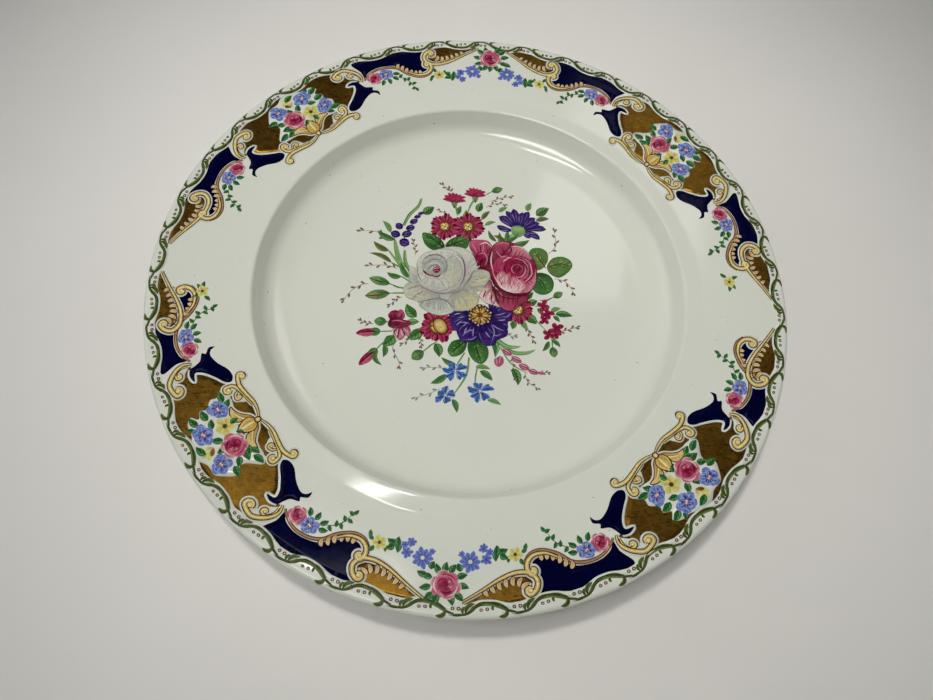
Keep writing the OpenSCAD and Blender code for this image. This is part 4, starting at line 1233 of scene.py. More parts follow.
def leaves():
    """Narrow leaves, leaves with a stem of their own, and broad leaves."""
    for base, tip, width, tones, bend in (
            ((11, -20), (13, -28.8), 3, GREEN, 0.12),
            ((-38, 18), (-45.5, 22.2), 2.9, OLIVE, 0.1), ((-36, 12), (-46.5, 16), 2.3, OLIVE, -0.1),
            ((-36, 24), (-44.5, 28), 3.2, GREEN, 0.1), ((-38.5, 27.6), (-42.8, 33.4), 2.6, FRESH, -0.1),
            ((-27.5, 5), (-32, 13), 2.4, GREEN, 0.1), ((-31, 5.4), (-37.5, 7), 2.7, GREEN, 0.12),
            ((-22, -13.5), (-27, -7.6), 4.6, GREEN, 0.1), ((-26, -16.6), (-20.6, -15.6), 3.2, FRESH, 0.05),
            ((-19, -18.6), (-25, -23.8), 4.8, GREEN, 0.1), ((-30.5, -23), (-35, -28), 4.8, GREEN, 0.08),
            ((-34.4, -27.6), (-34, -33.4), 2.5, GREEN, 0.15), ((-37, -30), (-34, -37), 2.2, GREEN, -0.25),
            ((-13, -25), (-10.6, -31), 4, GREEN, 0.12), ((-24.6, 39), (-20, 43.4), 4.4, GREEN, 0.05),
            ((-8.6, 40.6), (-7.6, 45.4), 2.6, GREEN, 0.1), ((-6.4, 38.6), (-5.2, 43.6), 2.2, FRESH, -0.1),
            ((0.6, 43), (2, 48.4), 3.6, GREEN, 0.08), ((2.6, 39), (6, 44), 2.4, OLIVE, 0.1),
            ((20.6, -33), (23.4, -40.4), 3.6, GREEN, 0.12), ((5, -34), (11.4, -34.4), 2.2, FRESH, 0.1),
            ((7, -35.5), (12.6, -39.4), 2.9, GREEN, 0.08), ((-6.6, -38.4), (-13, -43), 2.9, GREEN, 0.08),
            ((-3.4, -49), (-1, -54.6), 2.5, GREEN, 0.1), ((11, -48), (16.8, -49.6), 2.1, FRESH, 0.1),
            ((-2.6, -34), (-9.6, -31), 2.4, GREEN, 0.1), ((25, 0), (28, 3.6), 3.2, GREEN, 0.1),
            ((26, -3), (30, -0.4), 3.4, GREEN, 0.1), ((25, -8), (30, -11.6), 4.2, GREEN, 0.08),
            ((19.6, -11), (19.6, -15), 3, GREEN, 0.1), ((23, -11), (25.6, -14.8), 2.6, FRESH, 0.1),
            ((30, -4), (32.4, -7), 2.2, GREEN, 0.1), ((38, -6), (45.6, -6.2), 3.2, GREEN, 0.08),
            ((36, -5), (40.4, -3), 2.3, FRESH, 0.1), ((37, -7), (40, -9.6), 2, GREEN, 0.1),
            ((36.9, -18.5), (40.6, -21.4), 2, GREEN, 0.1), ((35.6, -19), (33, -24), 2.2, GREEN, 0.1),
            ((36.4, -16), (38, -19.4), 2, FRESH, 0.1), ((27.6, 44), (33.4, 48.6), 4.6, GREEN, 0.05),
            ((23.4, 46), (25, 50.6), 2.9, FRESH, 0.1), ((27.6, 41), (33.6, 42.8), 2.7, OLIVE, 0.1),
            ((10, 44), (14, 47), 2.2, FRESH, 0.1), ((14, 26), (11, 33), 2.6, OLIVE, 0.1),
            ((14, 28), (8.4, 31), 2.2, OLIVE, -0.1), ((16, 27), (15, 35), 2.4, GREEN, 0.1),
            ((15, 28), (20, 31.6), 2.4, GREEN, 0.1), ((17, 27), (25, 30.4), 3, GREEN, -0.1),
            ((4, 36), (9, 38.4), 2, FRESH, 0.1), ((10, 28), (6, 33.6), 2, OLIVE, 0.12)):
        greens.at(well, LEAF_COAT).leaf(base, tip, width, tones, bend,
                                        veins=5 if width > 7 else 3 if width > 3 else 0)
    for points, width in (([(12, -19.5), (18, -23.4), (23.6, -22.8)], 1.9),
                          ([(13, -21), (20, -25.6), (26, -25.6),
                          (30, -23.6)], 1.8), ([(10, -19), (14, -24), (13, -28)], 1.4)):
        greens.at(well, LEAF_COAT).stroke(points, width, "green", "green_light", taper=(0.7, 0.2))
        greens.stroke(points, width * 0.3, "green_light")
    for base, tip, width, tones, stem in (
            ((-35.5, 1.4), (-45, 3.4), 4.2, ("brown_green", "bud_green", "green"), [(-31, 0)]),
            ((-35, -3.2), (-45.6, -5.6), 4.8, ("crimson", "bud_green", "green"), [(-28, -2.5)]),
            ((-34.6, -17), (-40, -17.2), 4.2, ("green", "bud_green", "green_dark"), [(-31, -17)]),
            ((-17.4, -29), (-22, -33), 4.8, ("green", "bud_green", "green_dark"), [(-14.5, -26)]),
            ((6, 55), (11, 57.4), 3.4, ("green", "bud_green", "green_dark"), [(3.5, 53)]),
            ((36.8, 2.2), (41, 5), 3.2, ("green", "bud_green", "green_dark"), [(33, -0.6)]),
            ((37.2, -21.6), (38.4, -26.4), 3.6, ("green", "bud_green", "green_dark"), [(37, -18)])):
        bud(greens.at(well, LEAF_COAT + 0.012), base, tip, width, tones, stem=stem)
    warm = ("olive", "green", "olive_light", "brown_green")
    cool = ("green_dark", "green", "bud_green", "green_dark")
    for coat, tones, outline, spine in (
            (LEAF_COAT, warm, [(24.8, 22.8), (26.4, 26), (30.4, 26.6), (33.3, 24.5), (33.6, 20), (31.2, 16),
                               (28.3, 15.3), (26, 18.3)], [(33, 16.6), (30.5, 20.1), (28, 24)]),
            (LEAF_COAT, warm, [(33.8, 18.8), (36.1, 22), (40, 23.2), (43.7, 21.9), (44.9, 18.7),
                               (42.4, 14.7), (38.9, 12.3), (35.6, 13.6), (33.7, 16)],
             [(34.1, 17), (38.7, 19.3), (44.4, 18.8)]),
            (LEAF_COAT, cool, [(27.4, 12), (30.2, 13.9), (34.5, 13.1), (36.7, 9.7), (36.2, 5.6), (33.4, 3.3),
                               (29.9, 3.4), (27.3, 6)], [(28.5, 11.5), (31.4, 9.5), (34.1, 4.6)]),
            (LEAF_COAT, cool, [(-7.3, -27.5), (-6, -23.7), (-2.6, -22), (0.5, -21.4), (0, -26.8),
                               (-2.7, -29.6), (-5.7, -30)], [(0.2, -22.5), (-3, -25.6), (-6, -28.8)]),
            (LEAF_COAT, cool, [(1, -25.2), (1.6, -21.9), (4.9, -20.9), (8, -22.6), (9.9, -25.8),
                               (9.8, -29.5), (7.7, -32.2), (4.6, -31.5), (2, -28.4)],
             [(3.9, -22.5), (5.4, -27), (7.2, -31.4)]),
            (OVER_DAISY, cool, [(-24.1, 28.8), (-20.2, 28.8), (-16.4, 27.2), (-13.5, 23.7), (-14.3, 21.1),
                                (-18.6, 20.6), (-22.5, 23.5)], [(-13.2, 21.4), (-17.7, 25.4), (-23.6, 28)]),
            (OVER_DAISY, cool, [(-12.9, 22.7), (-11.6, 26.2), (-8.4, 28.4), (-3, 29.2), (-2.5, 25.7),
                                (-3.6, 23), (-7.1, 22)], [(-12.7, 22.9), (-7.9, 25.6), (-3, 28.2)])):
        broad_leaf(greens.at(well, coat), outline, spine, tones)


def crimson_group():
    """Daisies, two flowers seen from the side, a sweet pea and small florets."""
    red = bouquet["crimson_flowers"]
    crimson_daisy(red.at(well, DAISY_COAT), (-14.2, 33.4), 7.4, 0.33, 14, 4)
    crimson_daisy(red.at(well, DAISY_COAT + 0.02), (-3.4, 34.4), 7.9, 0.33, 14, 12)
    crimson_daisy(red.at(well, DAISY_COAT), (-12.6, -17), 8.4, 0.42, 11, 10, 0.95, 20)
    for width, inner, edge in ((3.1, "brown", "crimson_dark"), (2.7, "yellow_light", "ochre")):
        red.dot((-11.4, -16.7), width, inner, edge, stretch=1.4, turn=-54, n=16)
    red.lift += 0.004
    for i in range(16):
        u, v = off((0, 0), 0.5 + 0.9 * (i % 3), 67 * i)
        red.stroke([(-11.4 + u * 0.7 + v * 0.5, -16.7 - u * 0.9 + v * 0.5),
                    (-11 + u * 0.8 + v * 0.5, -17.1 - u + v * 0.6)],
                   0.3, ("brown", "ochre", "yellow_pale", "brown_dark")[i % 4], steps=2)
    crimson_daisy(red.at(well, DAISY_COAT), (21.6, -5.6), 7.2, 0.36, 13, 0, 1.0, 0)
    for c, spread in (((-11.2, 46.4), 6.4), ((-1.8, 50.6), 6.0)):
        red.at(well, SMALL_COAT).petal((c[0] + 0.6, c[1] - 2.6), (c[0], c[1] + 2.4), 2.9,
                                       ("green_dark", "bud_green", "green_light"))
        for a, reach in ((162, 0.95), (142, 1.0), (120, 0.95), (60, 0.95), (38, 1.0), (18, 0.95), (100, 1.0),
                         (80, 1.0), (130, 0.7), (50, 0.7), (90, 0.75), (110, 0.6), (70, 0.6)):
            red.petal(off(c, 0.8, a), off(c, spread * reach * (1.04 + 0.1 * math.sin(a)), a), 1.8,
                      ("crimson_dark", "magenta", "pink"), bend=0.22 * math.cos(math.radians(a)))
            red.stroke([off(c, 2, a), off(c, spread * reach * 0.8, a)], 0.2, "crimson_dark", steps=2)
    for k, (outline, near, far, a) in enumerate((
            ([(-34.3, -13.9), (-33.4, -12), (-31.1, -11.2), (-29.6, -12.6), (-30, -15.4), (-33, -15.8)],
             "crimson_dark", "magenta", 120),
            ([(-31, -12.7), (-29.6, -10.7), (-28, -11.4), (-27.2, -13.9), (-28.7, -16), (-30.3, -15.6)],
             "crimson_dark", "rose", 80),
            ([(-31.7, -18.6), (-30.2, -18.6), (-28.9, -21.6), (-29.2, -24), (-31, -21.4)], "crimson",
             "pink_light", 250),
            ([(-30.2, -18.6), (-28.1, -18.4), (-26.5, -20.6), (-26.4, -23.4), (-28.1, -24.9),
              (-29.3, -23.1)], "crimson", "pink_light", 270),
            ([(-28.1, -18.2), (-25.6, -18.2), (-24, -20.5), (-24.3, -22.8), (-26.3, -22)], "crimson",
             "pink_light", 300),
            ([(-33.9, -17.2), (-33, -15.3), (-30.2, -14.9), (-27.4, -15.4), (-24.2, -16), (-25, -18),
              (-28.3, -19), (-31.7, -19.6), (-33.6, -18.8)], "crimson_dark", "magenta", 10))):
        wash(red.at(well, DAISY_COAT + 0.004 * k), outline, near, far, a, "crimson_dark", 0.25, 4)
    red.stroke([(-32.6, -16.4), (-29.4, -15.9), (-26, -16.6)], 0.35, "pink_light")
    rays(red, (-28.8, -17.4), [(a, 2.4, 6.4 - 0.02 * abs(a - 270)) for a in range(232, 318, 9)],
         ("pink_pale", "crimson_dark", "pink_light"), 0.3)
    for c, r, a in (((32.6, -2.4), 3.1, 60), ((34.6, -6.2), 3.0, 0), ((33.4, -9.2), 2.6, 30),
                    ((38.8, -12.8), 3.2, 20), ((35.4, -15.8), 2.9, 50), ((38.6, -15.6), 2.4, 0)):
        red.at(well, SMALL_COAT)
        for i in range(4):
            red.petal(c, off(c, r * (1.05 - 0.14 * (i % 2)), a + 90 * i), r * 0.72,
                      ("crimson_dark", "crimson", "magenta"), bend=0.16)
            red.stroke([off(c, r * 0.4, a + 90 * i), off(c, r * 0.85, a + 90 * i + 8)], 0.22, "pink",
                       steps=2)
        red.dot(c, 0.5, "heart")


def anemone():
    """Six broad violet petals round an ochre heart."""
    p = bouquet["purple_anemone"].at(well, BROAD_COAT)
    c = (5.1, -9.8)
    for outline, a, spread, reach in (
            ([(-9, -9.7), (-6, -8.4), (-0.3, -8.4), (2.4, -11), (-2.8, -12.6), (-7.2, -12)], 182, 11, 13.2),
            ([(-7.8, -13), (-4.2, -12.2), (2, -12), (2, -15), (-2.3, -17.7), (-5.6, -17.8)], 208, 12, 11.8),
            ([(10, -9), (8.6, -4.7), (9.6, -1.6), (13.4, -3.9), (18, -6), (16.4, -8.8), (12, -10.4)], 34, 15,
             11),
            ([(9.6, -10.2), (14.3, -8), (18.8, -6.6), (19.2, -9.1), (17.4, -11.7), (17.4, -15.4),
              (13.3, -14.6), (9.6, -13)], 352, 15, 13),
            ([(-4.3, -17.6), (-0.4, -15.4), (4, -14), (5.4, -18.1), (4.7, -21.4), (0.8, -23), (-2.4, -22.2)],
             236, 18, 12.4),
            ([(4.8, -15), (9.1, -13.2), (13.9, -12.4), (17.4, -15.4), (17.2, -18.5), (13.3, -20.7),
              (12.6, -22.8), (9.1, -23.8), (6.1, -22.1), (4.6, -18.9)], 298, 28, 13.4)):
        wash(p, outline, "violet_dark", "violet", a, "violet_dark", 0.35)
        spans = []
        for k in range(-4, 5):
            near = 5 + 1.6 * (k % 3)
            spans.append((a + spread * k / 4.4, near,
                          near + (reach - near) * (0.62 + 0.3 * math.sin(k * 2.9 + a) ** 2)))
        rays(p, c, spans, ("violet_light", "violet_dark", "violet", "violet_pale", "violet_dark"), 0.42, 6)
    for points, width in (([(11, -22), (12, -17.6), (10.6, -14.4)], 0.5),
                          ([(-1.6, -20.6), (0.4, -18), (3, -17)], 0.6),
                          ([(14.6, -9.6), (17, -9.4), (18.4, -7.6)], 0.4),
                          ([(-3.6, -14.4), (-1, -14), (1, -14.6)], 0.5),
                          ([(0, -21.8), (2.6, -21.6), (4.4, -20)], 0.4),
                          ([(15.4, -17.6), (13, -18.8), (11.4, -18.6)], 0.4)):
        p.stroke(points, width, "violet_light", "violet_pale")
    p.dot(c, 5.2, "brown", "violet_dark", n=20)
    for i in range(30):
        a = 12 * i
        p.stroke([off(c, 0.9, a), off(c, 4.2 + 0.7 * math.sin(i * 2.4), a + 4)], 0.5,
                 ("yellow_light", "ochre", "yellow", "brown_dark", "yellow")[i % 5], steps=3)
    for i in range(19):
        p.dot(off(c, 4.4 + 0.5 * math.sin(i * 1.9), 19 * i), 0.46, "yellow_light",
              "yellow" if i % 3 else "ochre", n=7)
    p.dot(c, 1.3, "brown_dark", "brown", n=10)
    rays(p, c, [(a, 0.2, 1.5) for a in range(0, 360, 60)], ("ochre",), 0.25)


def pink_rose():
    """Open petals at the left and below, round a folded heart."""
    p = bouquet["pink_rose"].at(well, ROSE_COAT)
    for outline, near, far, a, streaks in (
            ([(-1.6, 27.5), (-2.1, 24), (-0.5, 21), (1.2, 17.3), (2, 13.7), (4.4, 12.2), (7.7, 12),
              (9, 18.5), (8.4, 24.3), (6.3, 27.5), (3.3, 28)], "crimson_dark", "rose", 110, 6),
            ([(0.3, 17.7), (1.4, 20.3), (3.8, 21.8), (6.2, 19.9), (6.6, 16.7), (5.4, 13.7), (3, 12.4),
              (1.4, 14.1)], "crimson_dark", "magenta", 60, 4),
            ([(4, -0.5), (6.1, 3.7), (8.3, 7.9), (10.5, 3.5), (13.1, -0.4), (14.1, -5), (10.6, -4.5),
              (7.4, -3.7)], "crimson", "pink_pale", 235, 6),
            ([(9.3, 5), (12.9, 2.8), (19.4, 1.1), (25.3, 2.6), (25.8, -0.2), (22.4, -3.3), (19.8, -6.1),
              (16.3, -6.3), (13.4, -4.4), (10.7, -0.6)], "crimson_dark", "pink", 270, 8)):
        wash(p, outline, near, far, a, "crimson_dark", 0.3, streaks)
    rays(p, (10, 9), [(a, 7, 11.4 + 1.6 * math.sin(a)) for a in range(238, 300, 7)],
         ("pink_pale", "crimson_dark", "pink_light"), 0.45)
    rays(p, (3.4, 17), [(a, 4.6, 9.4 + 0.6 * math.sin(a)) for a in range(48, 130, 11)],
         ("pink_light", "crimson_dark", "pink"), 0.4)
    wash(p, [(8.7, 26.1), (14.2, 28.6), (20.9, 26.6), (24.7, 23.6), (27.6, 19.8), (29, 15), (28.8, 9.2),
             (27, 4.5), (24.3, 1.7), (20.1, 1), (15.8, 1.5), (11.8, 4.2), (8.6, 8.7), (7.2, 13.5),
             (7.2, 19.6)], "crimson", "magenta", 60, "crimson_dark", 0.4)
    for outline, near, far, a, streaks in (
            ([(8.9, 26.1), (12.1, 28.3), (15.9, 28.1), (16.4, 25.9), (13.9, 22.4), (10.8, 18.6), (8.6, 14.4),
              (7.2, 18)], "crimson_dark", "pink", 110, 5),
            ([(16.1, 25), (20.2, 26.7), (24, 24.2), (27, 20.4), (22.7, 19.2), (18.4, 19.4), (15.6, 21.7)],
             "crimson", "pink_light", 70, 7),
            ([(10, 18.3), (14.2, 21.4), (17.7, 19.9), (17.6, 15.4), (15.9, 12.6), (12.4, 11.4), (9, 13.2)],
             "magenta", "pink", 90, 6),
            ([(23.3, 8.3), (26.8, 10.2), (28.4, 14.6), (29, 8.9), (26.7, 4.2), (23.5, 3)], "crimson",
             "pink_light", 330, 5)):
        wash(p, outline, near, far, a, "crimson_dark", 0.3, streaks)
    heart = (20.4, 14.8)
    p.dot((21, 14.4), 7.4, "crimson", "magenta", stretch=0.95, turn=25, n=18)
    for r, start, sweep, width, tone in (
            (7.3, -75, 165, 1.3, "pink"), (7.6, -60, 120, 0.4, "pink_pale"),
            (6.3, -80, 180, 0.8, "crimson_dark"), (5.6, -95, 150, 1.2, "rose"),
            (5.9, 20, 90, 0.4, "pink_light"), (4.7, -70, 200, 0.8, "crimson_dark"),
            (4.1, -120, 170, 0.9, "pink"), (4.3, -90, 110, 0.32, "pink_pale"),
            (3.3, -40, 230, 0.7, "crimson_dark"), (2.6, -60, 200, 0.8, "pink"),
            (2.5, 130, 120, 0.5, "pink_light"), (1.7, 0, 330, 0.6, "crimson_dark"),
            (6.6, 150, 70, 0.9, "pink"), (5.2, 140, 80, 0.7, "crimson_dark"),
            (6.9, 105, 45, 0.5, "pink_pale")):
        about = (heart[0] - 0.13 * r, heart[1] - 0.1 * r)
        p.stroke([off(about, r * (1 - 0.05 * k % 0.1), start + sweep * k / 5) for k in range(6)], width,
                 tone, taper=(0.1, 0.1))
    p.dot(heart, 1.2, "heart", "crimson_dark", n=8)
    p.stroke([off(heart, 0.6, 40), off(heart, 0.8, 120), off(heart, 0.6, 200)], 0.3, "pink")
    for outline, near, far, a in (
            ([(11.2, 10.2), (13.6, 13), (15.6, 11.4), (17, 12.6), (17.6, 9.6), (18.4, 6), (16.6, 3.6),
              (13.8, 4), (11.8, 6.4)], "pink", "pink_pale", 250),
            ([(17, 8.6), (18.8, 10.6), (20.6, 8.8), (22.4, 9.6), (24.4, 7), (23.6, 4.4), (20.6, 2.8),
              (17.8, 3.2), (16.4, 5.2)], "rose", "pink_pale", 250),
            ([(13.4, 6.2), (15.4, 7.6), (17.6, 6.2), (19.8, 7.2), (21.4, 5.2), (20, 3.2), (16.8, 2.8),
              (14.4, 3.8)], "pink_light", "pink_pale", 270)):
        wash(p, outline, near, far, a, "rose", 0.22, 5)
    for points, width, tone in (([(12.6, 10.4), (13.8, 8), (13.4, 5.6)], 0.4, "crimson"),
                                ([(15.2, 11), (15.8, 8.8), (15, 6.8)], 0.4, "pearl_light"),
                                ([(17.2, 9.4), (17, 7.2), (18.4, 4.6)], 0.4, "magenta"),
                                ([(19.6, 9), (20.6, 7.2), (22.8, 6)], 0.4, "pearl_light"),
                                ([(14, 4.6), (17, 4), (20.2, 4.4)], 0.35, "pearl_light")):
        p.stroke(points, width, tone)
    rays(p, (17, 15), [(a, 5.4, 9.6) for a in range(232, 312, 10)], ("pink_light", "pearl_light", "pink"),
         0.4)
    for points, width, tone in (
            ([(7.8, 12.2), (10.4, 6.1), (15.1, 2.5), (20.1, 1.4), (25, 2.6)], 1.3, "crimson_dark"),
            ([(9.1, 12.4), (11.6, 7.4), (15, 3.9), (20, 2.7), (24.6, 3.8)], 0.6, "pink_pale"),
            ([(16.4, 10.4), (17.6, 8.6), (17.2, 5.6)], 0.5, "crimson"),
            ([(12.2, 11), (12.6, 8), (14.4, 5.4)], 0.35, "crimson"),
            ([(8.4, 22.4), (8.2, 17), (9.6, 12)], 0.55, "pink_pale"),
            ([(9.6, 23.6), (12.4, 20.4), (15, 20.6)], 0.5, "pink_light"),
            ([(9.4, 25.8), (12.6, 27.6), (15.8, 27)], 0.45, "pink_light"),
            ([(2.2, 25.4), (5.4, 26.8), (8, 24.6)], 0.55, "pink_pale"),
            ([(2.2, 20.2), (4.6, 21.2), (6.4, 18.4), (5.6, 14.6)], 0.55, "pink_light"),
            ([(8, 24), (7, 19), (7.6, 13.4)], 0.7, "crimson_dark"),
            ([(16, 27), (17, 23.8), (15.6, 21.4)], 0.7, "crimson_dark"),
            ([(16.6, 25.8), (21, 26.2), (25.4, 22.6)], 0.5, "pink_pale"),
            ([(28.6, 15.4), (28.2, 9.6), (25.6, 5)], 0.5, "pink_light"),
            ([(11, 1.6), (16, -0.4), (22, -0.2)], 0.5, "crimson_dark"),
            ([(10.4, 5.6), (11.4, 0.6), (13.4, -4)], 0.9, "crimson_dark"),
            ([(20, 0.4), (20.4, -3), (19.4, -5.8)], 0.5, "crimson"),
            ([(4.2, 12.6), (3.4, 16), (4.6, 18.6)], 0.9, "crimson_dark")):
        p.stroke(points, width, tone)


def white_rose():
    """Layered pearl and cream petals round a crimson heart."""
    p = bouquet["white_rose"].at(well, TOP_COAT)
    wash(p, [(-20, -2.6), (-14, -0.4), (-4, 1), (-2.6, -4.6), (-7, -8.6), (-14, -8)], "grey", "pearl_light",
         260)
    for outline, near, far, a, streaks in (
            ([(-17.1, 19.9), (-13.7, 22), (-8.7, 23.2), (-3.5, 22.4), (-0.3, 19.9), (1.8, 15.3), (2.4, 11.3),
              (0.6, 6.3), (-2.5, 1.2), (-6.5, 2.4), (-6.7, 10.6), (-9.3, 18)], "grey", "pearl_light", 70, 6),
            ([(-1.8, 6.4), (0.4, 11.1), (3.7, 12.7), (7.3, 11.9), (8.6, 9.9), (7, 6), (4.4, 2.5), (0.4, 0.3),
              (-3.6, 0.6)], "grey", "cream", 20, 6),
            ([(-8.7, -2), (-4, 1.6), (1.7, 1), (4.3, -1.3), (3.1, -5.5), (-0.4, -7.9), (-4.5, -8.8),
              (-8.3, -7.6)], "grey", "cream_yellow", 310, 6),
            ([(-21.6, -7.9), (-18.3, -10), (-14, -11.6), (-9.8, -11.2), (-6.2, -8.8), (-7.8, -4.6),
              (-13.3, -3.6), (-18.1, -4.6)], "grey", "pearl_light", 280, 6),
            ([(-29.5, -0.2), (-26.7, 3.3), (-22.4, 2.4), (-17.9, 0), (-13, -2), (-14.3, -5.7), (-18.7, -6.5),
              (-23.6, -5.6), (-27.7, -4.2)], "grey", "cream", 215, 6),
            ([(-27.8, 11), (-24.2, 9.4), (-22.4, 3.8), (-23.6, 1.7), (-26.8, 3.7)], "grey", "pearl_light",
             140, 3),
            ([(-24.6, 14.2), (-22.6, 17.7), (-19.6, 19.6), (-15, 21.1), (-10, 21.4), (-5.4, 18.8),
              (-3.2, 14), (-3, 7.5), (-5.3, 2.3), (-9.4, -0.8), (-15, -1.1), (-20.1, 0.8), (-23.5, 4.4),
              (-24.8, 9.7)], "pearl", "pearl_light", 120, 5),
            ([(-11.6, 16.4), (-8.2, 18.2), (-4.9, 14), (-4.2, 9), (-5.6, 4.7), (-9, 2.1), (-11.8, 3.4),
              (-11.9, 9.8)], "cream", "pearl", 30, 6),
            ([(-22.5, 14.8), (-19.7, 17.6), (-15.5, 18.4), (-12.4, 16.5), (-11.3, 12.3), (-13.1, 8.7),
              (-15.8, 6.8), (-19.4, 7.2), (-21.8, 9.6)], "grey", "pearl", 100, 5),
            ([(-23.2, 7.8), (-18.5, 6), (-14.2, 5.8), (-11.1, 6.2), (-9.4, 1.9), (-13.7, -0.2), (-19.4, 0.8),
              (-22.7, 3.4)], "pearl", "pearl_light", 90, 6)):
        wash(p, outline, near, far, a, "grey", 0.24, streaks)
    for c, spans, tones in (
            ((-8, 8), [(a, 8.6, 13.4 + math.sin(a * 3)) for a in range(-40, 70, 11)],
             ("pearl_light", "grey", "pearl")),
            ((-6, 4), [(a, 8, 13.6 + math.sin(a * 2)) for a in range(-8, 32, 7)],
             ("cream_yellow", "grey", "cream")),
            ((-6, 6), [(a, 8.6, 13.4 + math.sin(a)) for a in range(255, 320, 9)],
             ("cream_yellow", "grey", "pearl_light")),
            ((-13, 4), [(a, 8.8, 14 + math.sin(a)) for a in range(236, 300, 9)],
             ("pearl_light", "grey", "cream")),
            ((-14, 4), [(a, 8, 14 + math.sin(a)) for a in range(188, 226, 7)],
             ("cream", "grey_dark", "pearl_light")),
            ((-14, 12), [(a, 6.4, 9 + math.sin(a)) for a in range(40, 200, 13)],
             ("pearl_light", "grey", "pearl")),
            ((-15, 11), [(a, 6, 10 + math.sin(a)) for a in range(215, 300, 9)],
             ("pearl_light", "pearl", "grey"))):
        rays(p, c, spans, tones, 0.4)
    for points, width, tone in (
            ([(-7.6, 19.2), (-4.6, 16.8), (-3.2, 12), (-3.4, 7.4), (-5, 3.6)], 0.6, "mauve"),
            ([(-22, 1.4), (-16.6, -0.6), (-11, -0.9), (-6.4, 1.4)], 0.4, "mauve"),
            ([(-9.4, -0.6), (-6.6, -0.2), (-3.4, 1.8)], 0.4, "grey_dark"),
            ([(-22.4, 14.4), (-19.8, 17.2), (-16, 18), (-12.8, 16.6)], 0.5, "mauve"),
            ([(-21.4, 12.2), (-19, 15), (-15.6, 15.6), (-13, 13.4)], 0.45, "grey_dark"),
            ([(-20.6, 11), (-18.4, 13.4), (-15.8, 13.8), (-13.4, 12)], 0.5, "pearl_light"),
            ([(-19.8, 10), (-18, 12.2), (-15.6, 12.8), (-13.8, 11.2)], 0.35, "mauve"),
            ([(-18.4, 9.4), (-17.6, 11.4), (-15.8, 12.1)], 0.5, "pearl_light"),
            ([(-22, 9.8), (-20.4, 8.2), (-18.6, 7.2)], 0.9, "heart"),
            ([(-20.6, 8.6), (-18.8, 7.4), (-16.8, 7.6)], 0.7, "magenta"),
            ([(-17.4, 7.2), (-15, 7), (-13.6, 8.4)], 0.6, "heart"),
            ([(-12.6, 16.4), (-11.2, 12.4), (-12.2, 8)], 0.4, "grey_dark"),
            ([(-7.6, 15), (-6.6, 9.6), (-8.6, 4.6)], 0.5, "cream_yellow"),
            ([(-9.4, 15.6), (-8.6, 10), (-10.4, 5)], 0.45, "pearl_light"),
            ([(-24.2, 13), (-23.8, 7.4), (-21, 3)], 0.4, "grey_dark"),
            ([(2, 8.4), (4.8, 7.4), (7.4, 8.4)], 0.6, "cream_yellow"),
            ([(-0.6, 4.4), (3, 4.8), (6, 6.6)], 0.5, "cream_yellow"),
            ([(-2.8, -3), (0, -2), (3, -2.6)], 0.6, "cream_yellow"),
            ([(-12.6, -3.4), (-9, -5.2), (-6.4, -8)], 0.5, "grey_dark"),
            ([(-19.4, -8), (-15.6, -9.6), (-11, -9.8)], 0.5, "pearl_light"),
            ([(-25.6, -2.6), (-21, -3.6), (-16.4, -3.6)], 0.5, "cream_yellow"),
            ([(-22.4, -6.6), (-17.6, -4.8), (-12.6, -3.2)], 0.4, "grey_dark"),
            ([(0.8, 12.4), (-0.4, 8), (-3, 3.6)], 0.5, "grey_dark")):
        p.stroke(points, width, tone)
    p.dot((-15.8, 10.4), 1.7, "heart", "crimson", n=12)
    p.stroke([(-17.2, 10), (-16.4, 11.2), (-14.8, 11)], 0.4, "pearl_light")
    p.stroke([(-16.8, 9.4), (-15.4, 10.2), (-14.4, 9.4)], 0.3, "pink_light")


def purple_aster():
    """A violet aster seen from the side."""
    p = bouquet["purple_aster"].at(well, SMALL_COAT)
    base = (19.4, 34.6)
    for tip, w, bend in (((9.6, 36.6), 3, 0.1), ((29.8, 31.2), 3.2, 0.12), ((25.4, 31.4), 2.6, 0.1),
                         ((32.6, 36.8), 3.6, 0.1), ((10.2, 41.6), 4.2, -0.08), ((29.4, 40), 3.6, 0.06),
                         ((27.2, 42.6), 3.8, 0.04), ((13.2, 45), 3.2, -0.08), ((16.6, 46.6), 3.8, -0.04),
                         ((24.2, 45.8), 3.8, 0.04), ((21.2, 45.2), 3.6, 0)):
        p.petal(off(base, 1.6, math.degrees(math.atan2(tip[1] - base[1], tip[0] - base[0]))), tip, w,
                ("violet_dark", "violet", "violet_dark"), bend=bend, far=1.5)
        a = math.degrees(math.atan2(tip[1] - base[1], tip[0] - base[0]))
        reach = math.dist(base, tip)
        rays(p, base, [(a - 5 + 60 * bend, reach * 0.34, reach * 0.84),
                       (a + 1 + 60 * bend, reach * 0.5, reach * 0.92),
                       (a + 6 + 60 * bend, reach * 0.42, reach * 0.8)],
             ("violet_light", "violet_dark", "violet_pale"), 0.3, 3)
    p.petal((18.8, 31.2), (20.2, 37.6), 6.6, ("green", "bud_green", "green_light"), full=0.5)
    for u in (16.6, 18.2, 19.8, 21.4):
        p.petal((19.4, 32.4), (u + 0.6, 37.2), 1.2, ("green_dark", "green_light", "green_light"))


